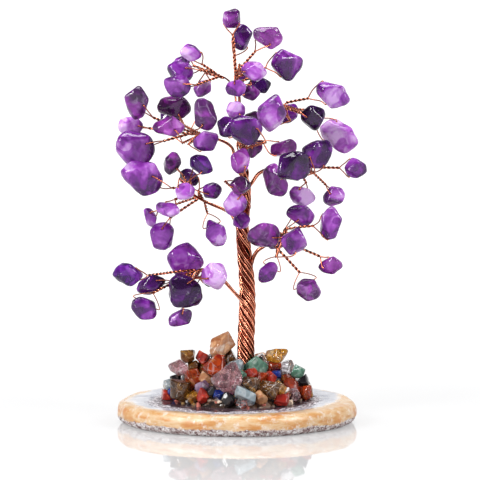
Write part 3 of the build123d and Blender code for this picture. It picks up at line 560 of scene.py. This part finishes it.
# Each mineral: dark, main and light colour, scale of its noise, clear share, roughness, stretch
minerals = {
    "carnelian": ((0.20, 0.012, 0.004), (0.60, 0.070, 0.010), (0.88, 0.36, 0.12), 210, 0.6, 0.05),
    "tiger_eye": ((0.025, 0.008, 0.003), (0.20, 0.070, 0.012), (0.66, 0.33, 0.06), 260, 0.6, 0.04,
                  (1, 3, 1)),
    "aventurine": ((0.03, 0.11, 0.07), (0.15, 0.34, 0.24), (0.52, 0.72, 0.60), 260, 0.4, 0.06),
    "clear_quartz": ((0.34, 0.27, 0.31), (0.80, 0.77, 0.80), (0.98, 0.98, 0.98), 180, 0.95, 0.03),
    "rose_quartz": ((0.24, 0.085, 0.11), (0.74, 0.42, 0.46), (0.98, 0.90, 0.92), 230, 0.85, 0.04),
    "red_jasper": ((0.22, 0.012, 0.010), (0.52, 0.035, 0.018), (0.72, 0.14, 0.06), 300, 0.25, 0.06),
    "chalcedony": ((0.20, 0.27, 0.31), (0.52, 0.60, 0.64), (0.90, 0.93, 0.94), 170, 0.5, 0.05),
    "citrine": ((0.22, 0.075, 0.006), (0.70, 0.32, 0.03), (0.94, 0.70, 0.26), 200, 0.7, 0.04),
    "obsidian": ((0.006, 0.005, 0.007), (0.018, 0.014, 0.017), (0.06, 0.045, 0.04), 220, 0, 0.03),
    "lepidolite": ((0.17, 0.085, 0.17), (0.40, 0.25, 0.39), (0.72, 0.60, 0.72), 280, 0.45, 0.05),
    "peach_moonstone": ((0.34, 0.11, 0.04), (0.76, 0.42, 0.22), (0.90, 0.76, 0.62), 140, 0.35, 0.06,
                        (1, 1, 4)),
    "lapis": ((0.005, 0.010, 0.09), (0.015, 0.045, 0.34), (0.08, 0.16, 0.55), 320, 0.3, 0.04),
}


def glue_finish():
    """Clear resin that has set over gravel, glossy; its near black and brown cells are partly the
    gravel and partly painted shade in the gaps between the pebbles.
    """
    f = Finish("set_glue")
    # Dark cells: gravel, and painted shade in the gaps between the pebbles
    gravel = f.cells(420, out="Color")
    base = f.ramp(f.split(gravel, "Red"), (0.3, (0.02, 0.012, 0.010)),
                  (0.6, (0.10, 0.045, 0.025)), (0.9, (0.30, 0.20, 0.15)))
    normal = f.bump(f.cells(420), 0.6, 0.0008, f.bump(f.noise(300), 0.3, 0.0006))
    return f.surface(f.principled(Base_Color=base, Roughness=0.12, IOR=1.5, Normal=normal,
                                  Coat_Weight=0.6, Coat_Roughness=0.05))


# Amethyst chips

# Looks by name: depth of colour, milkiness, redness
looks = {
    "dark": (0.72, 0.05, 0.35), "deep": (0.55, 0.10, 0.35), "blue": (0.50, 0.10, 0.02),
    "violet": (0.40, 0.20, 0.45), "vivid": (0.36, 0.02, 0.75), "rosy": (0.33, 0.45, 0.85),
    "milky": (0.25, 0.70, 0.50), "pale": (0.12, 0.75, 0.55), "clear": (0.16, 0.05, 0.40),
    "smoky": (0.60, 0.55, 0.75), "plum": (0.66, 0.12, 0.95),
}
# The look of each chip, in the order of its limb's solids
chip_looks = {
    "top": "vivid deep rosy violet milky blue violet rosy deep",
    "top_left": "milky violet deep violet pale",
    "upper_right": "milky clear pale dark deep",
    "upper_left": "smoky plum smoky pale rosy violet violet deep",
    "centre_high": "milky dark dark plum plum rosy dark",
    "centre": "vivid plum violet milky",
    "right": "dark smoky deep violet pale milky deep",
    "mid_left": "violet smoky blue milky deep violet milky clear deep",
    "lower_right": "violet violet smoky deep vivid violet",
    "lower_left": "clear dark blue dark pale violet deep",
    "hanging_chip_lower_left": "deep", "hanging_chip_lower_right": "violet",
    "hanging_chip_far_right": "smoky", "hanging_chip_mid_left": "clear",
}
stone_rows, stone_columns, bore_rows = 44, 56, 5
corner_sharpness = 13.0
# The search for the surface: how often it halves, and how far it looks in metres
solve_rounds, furthest = 26, 0.03
girth_steps, girth_evenness = 181, 0.5
bore_radius, hanging_bore_radius = 0.33 * millimetre, 0.27 * millimetre
# Dents: size in metres and depth as a share
wide_dents, small_dents = (0.0065, 0.055), (0.0028, 0.014)
seeds_per_limb = 20


def rounded(planes, middle, start, ways, sharpness):
    """How far the tumbled surface lies from start along each way, by halving. The surface is where
    the sum over the planes of (height towards the plane / the plane's distance) to a power is 1."""
    normals, distances = planes
    own = distances - normals @ middle
    offset = (normals @ (start - middle)) / own
    slope = ways @ (normals / own[:, None]).T
    low, high = np.zeros(len(ways)), np.full(len(ways), furthest)
    for _ in range(solve_rounds):
        half = (low + high) / 2
        filled = (np.maximum(offset + slope * half[:, None], 0) ** sharpness).sum(axis=1)
        inside = filled < 1
        low, high = np.where(inside, half, low), np.where(inside, high, half)
    return (low + high) / 2


def ripple(points, seed, size, share):
    """Soft dents: a sum of sine waves in seeded directions, as a share."""
    random = np.random.default_rng(seed)
    waves = unit(random.normal(size=(7, 3))) * random.uniform(0.7, 1.7, (7, 1)) * math.tau / size
    phases = random.uniform(0, math.tau, 7)
    return np.sin(points @ waves.T + phases).mean(axis=1) * share


def stone_attribute(points, middle, look, seed):
    """Place along the stone's longest way, depth, milkiness and redness, for each point."""
    longest = np.linalg.svd(points[::7] - points[::7].mean(axis=0), full_matrices=False)[2][0]
    longest = longest * np.sign(longest[0] + 0.3 * longest[2])
    along = (points - middle) @ longest
    along = (along - along.min()) / (along.max() - along.min())
    random = np.random.default_rng(900 + seed)
    if random.uniform() < 0.5:
        along = 1 - along
    depth, milk, warmth = looks[look]
    depth, ones = depth + random.uniform(-0.05, 0.05), np.ones(len(points))
    return np.column_stack((along, ones * depth, ones * milk, ones * warmth))


def drilled_stone(planes, middle, axis, core, radius, seed):
    """A tumbled chip with its bore. Rows run from one mouth over the outside to the other mouth and
    back through the bore; columns run round the bore's axis, spaced by the stone's girth."""
    side = unit(np.cross(axis, [0.3, 0.5, 0.8]))
    other = np.cross(axis, side)
    fine = np.linspace(0, math.tau, girth_steps)
    girth = rounded(planes, middle, core, direction(fine[:, None], side, other), corner_sharpness)
    run = np.concatenate(([0], np.cumsum(girth[:-1] + girth.mean() * girth_evenness)))
    turns = np.interp(np.linspace(0, run[-1], stone_columns, endpoint=False), run, fine)
    out = direction(turns[:, None], side, other)
    mouth = [rounded(planes, middle, core, np.array([way * axis]), corner_sharpness)[0]
             for way in (1, -1)]
    rim = [math.atan2(radius, reach) for reach in mouth]
    lean = np.linspace(rim[0], math.pi - rim[1], stone_rows)[:, None, None]
    ways = direction(lean, axis, out).reshape(-1, 3)
    reach = rounded(planes, middle, core, ways, corner_sharpness)
    outside = core + ways * reach[:, None]
    dents = ripple(outside, seed, *wide_dents) + ripple(outside, seed + 500, *small_dents)
    outside = core + (outside - core) * (1 + dents)[:, None]
    outside = outside.reshape(stone_rows, stone_columns, 3)
    levels = [((row - core) @ axis).mean() for row in (outside[-1], outside[0])]
    depths = np.linspace(levels[0], levels[1], bore_rows + 2)[1:-1]
    wall = core + depths[:, None, None] * axis + (out * radius)[None]
    return wrap(np.vstack((outside, wall)), True)


bored_chips = []


def chip_shells(node, look_names, first_seed):
    """The tumbled chips of one piece, each with its look. The loops find them in bored_chips."""
    shells = []
    hangs = node.startswith("hanging")
    radius = hanging_bore_radius if hangs else bore_radius
    for index, (points, triangles) in enumerate(islands(node)):
        planes, middle, axis, core = outer_planes(points, triangles)
        bored_chips.append((planes, middle, core, hangs))
        seed = first_seed + index
        surface = drilled_stone(planes, middle, axis, core, radius, seed)
        attribute = stone_attribute(surface[0], middle, look_names[index % len(look_names)], seed)
        shells.append((*surface, {"stone": attribute}))
    return shells


amethyst_finish = amethyst()
for number, node in enumerate(node_names("chips_") + node_names("hanging_chip")):
    names = chip_looks[node.removeprefix("chips_")].split()
    make_piece("amethyst_" + node, chip_shells(node, names, number * seeds_per_limb), [node],
               amethyst_finish)

# Copper wire

# Radii of the wires: in the loops, in a twisted pair and in the rope
loop_wire, hanging_wire = 0.25 * millimetre, 0.215 * millimetre
pair_wire, rope_wire = 0.29 * millimetre, 0.31 * millimetre
pair_pitch, strand_pitch = 3.4 * millimetre, 45.0 * millimetre
# How close wires lie: in a pair, the rope's past its strand's surface, and the rope's side by side
pair_closeness, rope_swell, rope_closeness = 0.98, 1.04, 1.05
thin_wire_sides, rope_wire_sides, core_sides = 6, 8, 12
# A loop: its gap to the stone, and the rise and the bends of an open arch
loop_gap, arch_rise, bend = 0.13 * millimetre, 0.65 * millimetre, 0.7 * millimetre
# A twig: its rings up to the knot, and how far it reaches into its strand and past the knot
stem_rings, root_depth, knot_reach = 5, 0.7 * millimetre, 0.1 * millimetre
# The dark core in the trunk, painted shade between the strands: steps, reach of the ring, gap to
# the strands and to the tree's top
core_step, ring_reach = 1.5 * millimetre, 4 * millimetre
core_gap, core_end = 0.25 * millimetre, 25 * millimetre
# Painted groove shade laid evenly all along a single wire, its tarnish, and tarnish of a twisted
# pair
loop_groove_shade, loop_tarnish, pair_tarnish = 0.26, 1.0, 0.7
copper_finish = copper()


def groove_shade_attribute(surface, line, core, sides, tarnish):
    """Painted shade between wires: how deep each point of a wire lies between wires, 0 on its side
    away from the core line. The second channel is the wire's tarnish."""
    away = line - core
    away = away / np.maximum(np.linalg.norm(away, axis=1, keepdims=True), 1e-9)
    rings = surface[0][:-2].reshape(len(line), sides, 3) - line[:, None]
    facing = (unit(rings) * away[:, None]).sum(axis=2).ravel()
    depth = np.concatenate((np.clip((0.75 - facing) / 0.95, 0, 1), [1, 1]))
    ones = np.ones(len(depth))
    return {"groove": np.column_stack((depth, ones * tarnish, ones, ones))}


def twisted_pair(line, where):
    """Two wires wound round a line: circles at a half turn from each other, one turn per pitch."""
    first, second = frames(line)
    shells = []
    for half in (0, math.pi):
        turn = (math.tau * where / pair_pitch + half)[:, None]
        path = line + pair_wire * pair_closeness * direction(turn, first, second)
        surface = tube(path, pair_wire, thin_wire_sides)
        groove = groove_shade_attribute(surface, path, line, thin_wire_sides, pair_tarnish)
        shells.append((*surface, groove))
    return shells


def loop_half(knot, mouth, chip):
    """The way from the knot to a mouth of the chip's bore: close round the stone's end, or in an
    open arch where the chip hangs loose."""
    planes, middle, core, hangs = chip
    out = unit(mouth - core)
    if hangs:
        shares = np.array([0.15, 0.35, 0.6, 0.92])[:, None]
        arch = knot * (1 - shares) + mouth * shares + out * (4 * shares * (1 - shares) * arch_rise)
        inward, back = unit(core - mouth), unit(arch[-1] - mouth)
        return np.vstack((arch[:-1], mouth + back * bend, mouth + (inward + back) * 0.3 * bend,
                          mouth + inward * bend))
    start = unit(knot - core)
    angle = math.acos(start @ out)
    shares = np.array([0.15, 0.35, 0.55, 0.75, 0.93])[:, None]
    ways = unit(start * np.sin((1 - shares) * angle) + out * np.sin(shares * angle))
    reach = rounded(planes, middle, core, np.vstack((start, ways, out)), corner_sharpness) * 1.03
    reach = reach + loop_wire + loop_gap
    lift = np.linalg.norm(knot - core) - reach[0]
    ring = core + ways * (reach[1:-1, None] + lift * (1 - shares) ** 3)
    return np.vstack((ring, core + out * reach[-1]))


def twig_shells(node):
    """Each twig: a twisted pair up to the knot, then one wire through the chip's bore and back."""
    shells = []
    for points, triangles in islands(node):
        middles, radii = ring_line(points, triangles)
        if radii[0] < radii[-1]:
            middles = middles[::-1]
        stem, loop = middles[:stem_rings], middles[stem_rings - 1:]
        root = stem[0] + unit(stem[0] - stem[1]) * root_depth
        knot = stem[-1] + unit(stem[-1] - stem[-2]) * knot_reach
        line, where = flow(np.vstack((root, stem[:-1], knot)), 0.3 * millimetre)
        shells += twisted_pair(line, where)
        chord_middle = (loop[1] + loop[2]) / 2
        chip = min(bored_chips, key=lambda one: np.linalg.norm(one[2] - chord_middle))
        near, far = (loop_half(stem[-1], mouth, chip) for mouth in (loop[1], loop[2]))
        core = chip[2]
        path = np.vstack((stem[-1], near, (near[-1] + core) / 2, core, (far[-1] + core) / 2,
                          far[::-1], stem[-1]))
        line = bend_through(path, 0.28 * millimetre)
        surface = tube(line, hanging_wire if chip[3] else loop_wire, thin_wire_sides)
        # The loop wire carries an even share of painted groove shade all along, and its tarnish
        plain = np.tile([loop_groove_shade, loop_tarnish, 1.0, 1.0], (len(surface[0]), 1))
        shells.append((*surface, {"groove": plain}))
    return shells


def rope_shells(node):
    """A strand as a bundle: wires side by side round it, one turn per pitch. As the strand thins,
    the wires that no longer find room end inside it."""
    points, triangles = islands(node)[0]
    middles, radii = ring_line(points, triangles, True)
    line, where = flow(middles, 0.6 * millimetre)
    radius = np.interp(where, lengths(middles), radii)
    first, second = frames(line)
    reach = radius * rope_swell - rope_wire
    room = math.pi * reach / (rope_wire * rope_closeness)
    shells = []
    for number in range(int(room.max()) + 1):
        held = np.clip((room - number) * 1.2, 0, 1)
        turn = (-math.tau * where / strand_pitch + math.tau * number / room.clip(1))[:, None]
        path = line + (reach * held)[:, None] * direction(turn, first, second)
        size = rope_wire * np.clip(held * 1.5, 0.15, 1)
        surface = tube(path, size, rope_wire_sides)
        shells.append((*surface, groove_shade_attribute(surface, path, line, rope_wire_sides, 0.0)))
    return shells


def rope_shade_core_shell():
    """Painted shade in the ring of strands: a dark tube along their common middle, at each level a
    little thinner than the way to the nearest of the strands that stand round it."""
    lines = [ring_line(*islands(node)[0], True)[0] for node in node_names("strand_")]
    low, high = min(line[0, 2] for line in lines), max(line[-1, 2] for line in lines)
    levels = np.arange(low, high - core_end, core_step)
    middles, radii = [], []
    for level in levels:
        standing = [line[:line[:, 2].argmax() + 1] for line in lines if line[:, 2].max() > level]
        places = np.array([[np.interp(level, line[:, 2], line[:, k]) for k in range(2)]
                           for line in standing])
        middle = np.median(places, axis=0)
        near = places[np.linalg.norm(places - middle, axis=1) < ring_reach]
        middles.append([*near.mean(axis=0), level])
        radii.append(np.linalg.norm(near - near.mean(axis=0), axis=1).min())
    line, _ = flow(np.array(middles), 1.0 * millimetre)
    radius = np.interp(line[:, 2], levels, radii) - core_gap
    surface = tube(line, np.maximum(radius, 0.1 * millimetre), core_sides)
    # Full painted shade all over, so the tube is near black
    ones = np.ones(len(surface[0]))
    return (*surface, {"groove": np.column_stack([ones] * 4)})


for node in node_names("strand_"):
    make_piece("rope_" + node, rope_shells(node), [node], copper_finish)
make_piece("rope_shade_core", [rope_shade_core_shell()], ["strand_top"], copper_finish, False)
for node in node_names("twigs_"):
    make_piece("wire_" + node, twig_shells(node), [node], copper_finish)

# Pebbles

pebble_rows, pebble_columns = 30, 40
pebble_sharpness, pebble_dents = 22.0, (0.004, 0.02)
first_pebble_seed, seeds_per_kind = 400, 30


def pebble_shell(points, triangles, seed):
    """A tumbled pebble: the rounded surface of its planes round its own middle."""
    planes, middle, _, _ = outer_planes(points, triangles)
    lean = np.linspace(0, math.pi, pebble_rows + 2)[1:-1, None, None]
    turns = np.linspace(0, math.tau, pebble_columns, endpoint=False)[None, :, None]
    ways = direction(lean, [0, 0, 1], direction(turns, [1, 0, 0], [0, 1, 0])).reshape(-1, 3)
    reach = rounded(planes, middle, middle, ways, pebble_sharpness)
    dents = ripple(middle + ways * reach[:, None], seed, *pebble_dents)
    outside = middle + ways * (reach * (1 + dents))[:, None]
    return (*wrap(outside.reshape(pebble_rows, pebble_columns, 3)), {})


for number, node in enumerate(node_names("pebbles_")):
    kind = node.removeprefix("pebbles_")
    seed = first_pebble_seed + number * seeds_per_kind
    shells = [pebble_shell(points, triangles, seed + index)
              for index, (points, triangles) in enumerate(islands(node))]
    make_piece("stones_" + kind, shells, [node], mineral(kind, *minerals[kind]))

# Agate slice

outline_steps, outline_waves = 144, 15
slice_turns, under_rows, rim_rows, face_rows = 420, 8, 26, 46
# Shares of the outline where the faces end and where their innermost rings lie
face_share, pole_share = 0.925, 0.04
# The rim's bulge: powers of its reach and of its height
reach_power, height_power = 0.85, 0.82
bark_height, crystal_count = 2.9 * millimetre, 2600
# Where the side and the ring of crystals begin, and how far each takes to be full
side_start, side_rise = 0.0405, 0.002
ring_start, ring_rise, ring_end, ring_fall = 0.026, 0.002, 0.0375, 0.003
crystal_spread, crystal_tilt, crystal_lift = 0.043, 0.16, 0.00012


def agate_rim():
    """Outline of the slice by turn, from the frame's widest ring, as a smooth periodic curve."""
    points, _ = islands("agate_slice")[0]
    far = np.linalg.norm(points[:, :2], axis=1)
    wide = points[np.abs(points[:, 2] - points[far.argmax(), 2]) < 1e-5]
    turns = np.arctan2(wide[:, 1], wide[:, 0])
    order = turns.argsort()
    turns, far = turns[order], np.linalg.norm(wide[order, :2], axis=1)
    known = np.linspace(-math.pi, math.pi, outline_steps, endpoint=False)
    waves = np.fft.rfft(np.interp(known, turns, far, period=math.tau))
    waves[outline_waves:] = 0
    return known, np.fft.irfft(waves, outline_steps), points[:, 2].max()


def slice_shell():
    """The slice as rows of rings from the middle of the underside, round the bulging rim, to the
    middle of the top. The rim is a superellipse; the bark is rough and the top a crust of crystals,
    each a small tilted plane round its own seed."""
    known, outline, top = agate_rim()
    turns = np.linspace(-math.pi, math.pi, slice_turns, endpoint=False)
    wide = np.interp(turns, known, outline, period=math.tau)
    lean = np.linspace(-math.pi / 2, math.pi / 2, rim_rows)
    rim_reach = np.abs(np.cos(lean)) ** reach_power
    rim_level = top / 2 + top / 2 * np.sign(np.sin(lean)) * np.abs(np.sin(lean)) ** height_power
    reach = np.concatenate((np.linspace(pole_share, face_share, under_rows)[:-1],
                            face_share + (1 - face_share) * rim_reach,
                            np.linspace(face_share, pole_share, face_rows)[1:]))
    level = np.concatenate((np.zeros(under_rows - 1), rim_level, np.full(face_rows - 1, top)))
    out = np.stack((np.cos(turns), np.sin(turns), np.zeros(slice_turns)), axis=1)
    grid = out[None] * (wide[None] * reach[:, None])[..., None] + [0, 0, 1] * level[:, None, None]
    flat = grid.reshape(-1, 3)
    high, radius = flat[:, 2], np.linalg.norm(flat[:, :2], axis=1)
    side = np.clip((radius - side_start) / side_rise, 0, 1)
    bark = side * np.clip((bark_height + ripple(flat, 11, 0.012, 0.0012) - high) / 0.0012, 0, 1)
    crust = ripple(flat, 3, 0.0022, 1) + ripple(flat, 4, 0.0011, 0.8) + ripple(flat, 5, 0.0006, 0.5)
    away = flat * [1, 1, 0] / np.maximum(radius, 1e-6)[:, None]
    swell = side * ripple(flat, 7, 0.011, 0.0006) - bark * (0.0002 + np.abs(crust) * 0.0007)
    flat = flat + away * swell[:, None]
    random = np.random.default_rng(21)
    spread = crystal_spread * np.sqrt(random.uniform(0, 1, crystal_count))
    around = random.uniform(0, math.tau, crystal_count)
    seeds = np.stack((spread * np.cos(around), spread * np.sin(around)), axis=1)
    tilts = random.normal(0, crystal_tilt, (crystal_count, 2))
    lifts = random.uniform(-1, 0, crystal_count) * crystal_lift
    face = (high > top - 1e-6).nonzero()[0]
    near = np.concatenate([((flat[part, None, :2] - seeds[None]) ** 2).sum(axis=2).argmin(axis=1)
                           for part in np.array_split(face, 12)])
    height = ((flat[face, :2] - seeds[near]) * tilts[near]).sum(axis=1) + lifts[near]
    edge = (np.clip((radius[face] - ring_start) / ring_rise, 0, 1)
            * np.clip((ring_end - radius[face]) / ring_fall, 0, 1))
    flat[face, 2] += np.clip(height, -0.0003, 0.00005) * edge
    return (*wrap(flat.reshape(grid.shape)), {})


make_piece("agate_disc", [slice_shell()], ["agate_slice"], slice_finish())

mound = frame["nodes"]["glue_mound"]
mound.data.materials.clear()
mound.data.materials.append(glue_finish())

# Gravel: small broken stones set in the glue between the pebbles

gravel_count, gravel_sides = 230, 6
gravel_kinds = "obsidian", "tiger_eye", "clear_quartz", "red_jasper", "peach_moonstone"
# A gravel stone's rings: height and width
gravel_rings = (-0.75, 0.45), (-0.2, 0.95), (0.3, 0.9), (0.8, 0.4)


def gravel_shells():
    """Small stones on the mound, in one group for each kind: six-sided double pyramids with blunt
    tips, turned at random, with their middles on the ball that the mound is a cap of."""
    low, high = (np.array(corner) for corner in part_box("glue_mound"))
    middle, reach, rise = (low + high) / 2, (high[0] - low[0]) / 2, high[2] - low[2]
    ball = (reach ** 2 + rise ** 2) / (2 * rise)
    centre = np.array([middle[0], middle[1], high[2] - ball])
    random = np.random.default_rng(77)
    groups = [[] for _ in gravel_kinds]
    for number in range(gravel_count):
        away = reach * 1.03 * math.sqrt(random.uniform(0.03, 1))
        turn = random.uniform(0, math.tau)
        place = np.array([middle[0] + away * math.cos(turn), middle[1] + away * math.sin(turn), 0])
        place[2] = max(centre[2] + math.sqrt(max(ball ** 2 - away ** 2, 0)), low[2] + 0.0003)
        length = random.uniform(0.0008, 0.0019)
        size = length * np.array([1, random.uniform(0.6, 0.9), random.uniform(0.5, 0.8)])
        turns = (np.linspace(0, math.tau, gravel_sides, endpoint=False)
                 + random.uniform(-0.25, 0.25, gravel_sides))
        rows = []
        for height, width in gravel_rings:
            spread = width * random.uniform(0.8, 1.1, gravel_sides)
            heights = np.full(gravel_sides, height)
            rows.append(np.stack((spread * np.cos(turns), spread * np.sin(turns), heights), axis=1))
        spin = np.linalg.qr(random.normal(size=(3, 3)))[0]
        group = groups[number % len(gravel_kinds)]
        group.append((*wrap(place + (np.array(rows) * size) @ spin), {}))
    return groups


for kind, shells in zip(gravel_kinds, gravel_shells()):
    piece = make_piece("gravel_" + kind, shells, ["glue_mound"], bpy.data.materials[kind],
                       False)
    piece.data.polygons.foreach_set("use_smooth", np.zeros(len(piece.data.polygons), bool))

# Stage, light and camera

target = np.array([1.15, 0, 69.62]) * millimetre
sight_distance, sight_rise, picture_width = 2.5, math.radians(7), 0.18292
sensor_width = 36.0
half_floor, floor_level = 3.0, -0.00005
# Where the floor's shine begins and ends to fade into white, and the share of white near the object
fade_start, fade_end, near_white = 0.09, 0.30, 0.26


def ray_kinds(f):
    """1 for a ray from the camera, one in a reflection and one through glass."""
    return (f.node("ShaderNodeLightPath", out=f"Is {kind} Ray")
            for kind in ("Camera", "Glossy", "Transmission"))


def stage_finish():
    """Pale floor with a soft shine, lifted by a share of plain white for the camera and for what is
    seen in or through the object; far from the object only that white is left."""
    f = Finish("floor")
    camera, glossy, passing = ray_kinds(f)
    radius = f.node("ShaderNodeVectorMath", {"operation": "LENGTH"}, {0: f.place}, "Value")
    plain = f.principled(Base_Color=colour(0.56, 0.56, 0.565), Roughness=0.03, IOR=1.55,
                         Coat_Weight=0.5, Coat_Roughness=0.02)
    white = f.node("ShaderNodeEmission", {}, {"Color": colour(1, 1, 1), "Strength": 1.2})
    far_white = f.step(radius, fade_start, fade_end) * (1 - near_white) + near_white
    share = far_white * (camera + glossy + passing).below(1.0)
    return f.surface(f.blend(share, plain, white))


def studio_world():
    """White behind the object for the camera; metal and stone see white near the horizon and a dim
    room above it; a soft pale grey as light."""
    f = Finish("studio", bpy.data.worlds, "ShaderNodeOutputWorld", "Generated")
    camera, glossy, passing = ray_kinds(f)
    light, room, white = (f.node("ShaderNodeBackground", {}, {"Color": tint, "Strength": strength})
                          for tint, strength in ((colour(0.96, 0.97, 1), 0.42),
                                                 (colour(1, 1, 1), 0.14), (colour(1, 1, 1), 1.0)))
    seen = (glossy + passing).below(1.0)
    low = 1 - f.step(f.axis("Z"), 0.28, 0.55)
    return f.surface(f.blend((camera + seen * low).below(1.0), f.blend(seen, light, room), white))


floor_mesh = bpy.data.meshes.new("floor")
floor_corners = [(x * half_floor, y * half_floor, floor_level)
                 for x, y in ((-1, -1), (1, -1), (1, 1), (-1, 1))]
floor_mesh.from_pydata(floor_corners, [], [(0, 1, 2, 3)])
floor_mesh.materials.append(stage_finish())
new_object("floor", floor_mesh)
bpy.context.scene.world = studio_world()


def softbox(name, place, size, power):
    """An area lamp at a place, turned to look at the middle of the tree."""
    lamp = bpy.data.lights.new(name, "AREA")
    lamp.shape, lamp.size, lamp.size_y, lamp.energy = "RECTANGLE", size[0], size[1], power
    light = new_object(name, lamp)
    light.location = place
    x, y, z = np.array([0, 0, 0.08]) - np.array(place)
    light.rotation_euler = (math.atan2(math.hypot(x, y), -z), 0, math.atan2(y, x) - math.pi / 2)


softbox("softbox_left", (-0.55, -0.45, 0.42), (0.12, 0.5), 6.0)
softbox("softbox_right", (0.60, -0.35, 0.45), (0.14, 0.45), 4.0)
softbox("softbox_top", (0.0, 0.1, 0.8), (0.4, 0.3), 3.8)

camera_data = bpy.data.cameras.new("camera")
camera_data.sensor_width = sensor_width
camera_data.lens = sensor_width * sight_distance / picture_width
camera_data.clip_start, camera_data.clip_end = 0.05, 10
camera = new_object("camera", camera_data)
sight = np.array([0, -math.cos(sight_rise), math.sin(sight_rise)])
camera.location = target + sight_distance * sight
camera.rotation_euler = (math.pi / 2 - sight_rise, 0, 0)
bpy.context.scene.camera = camera
bpy.context.scene.view_settings.view_transform = "Standard"
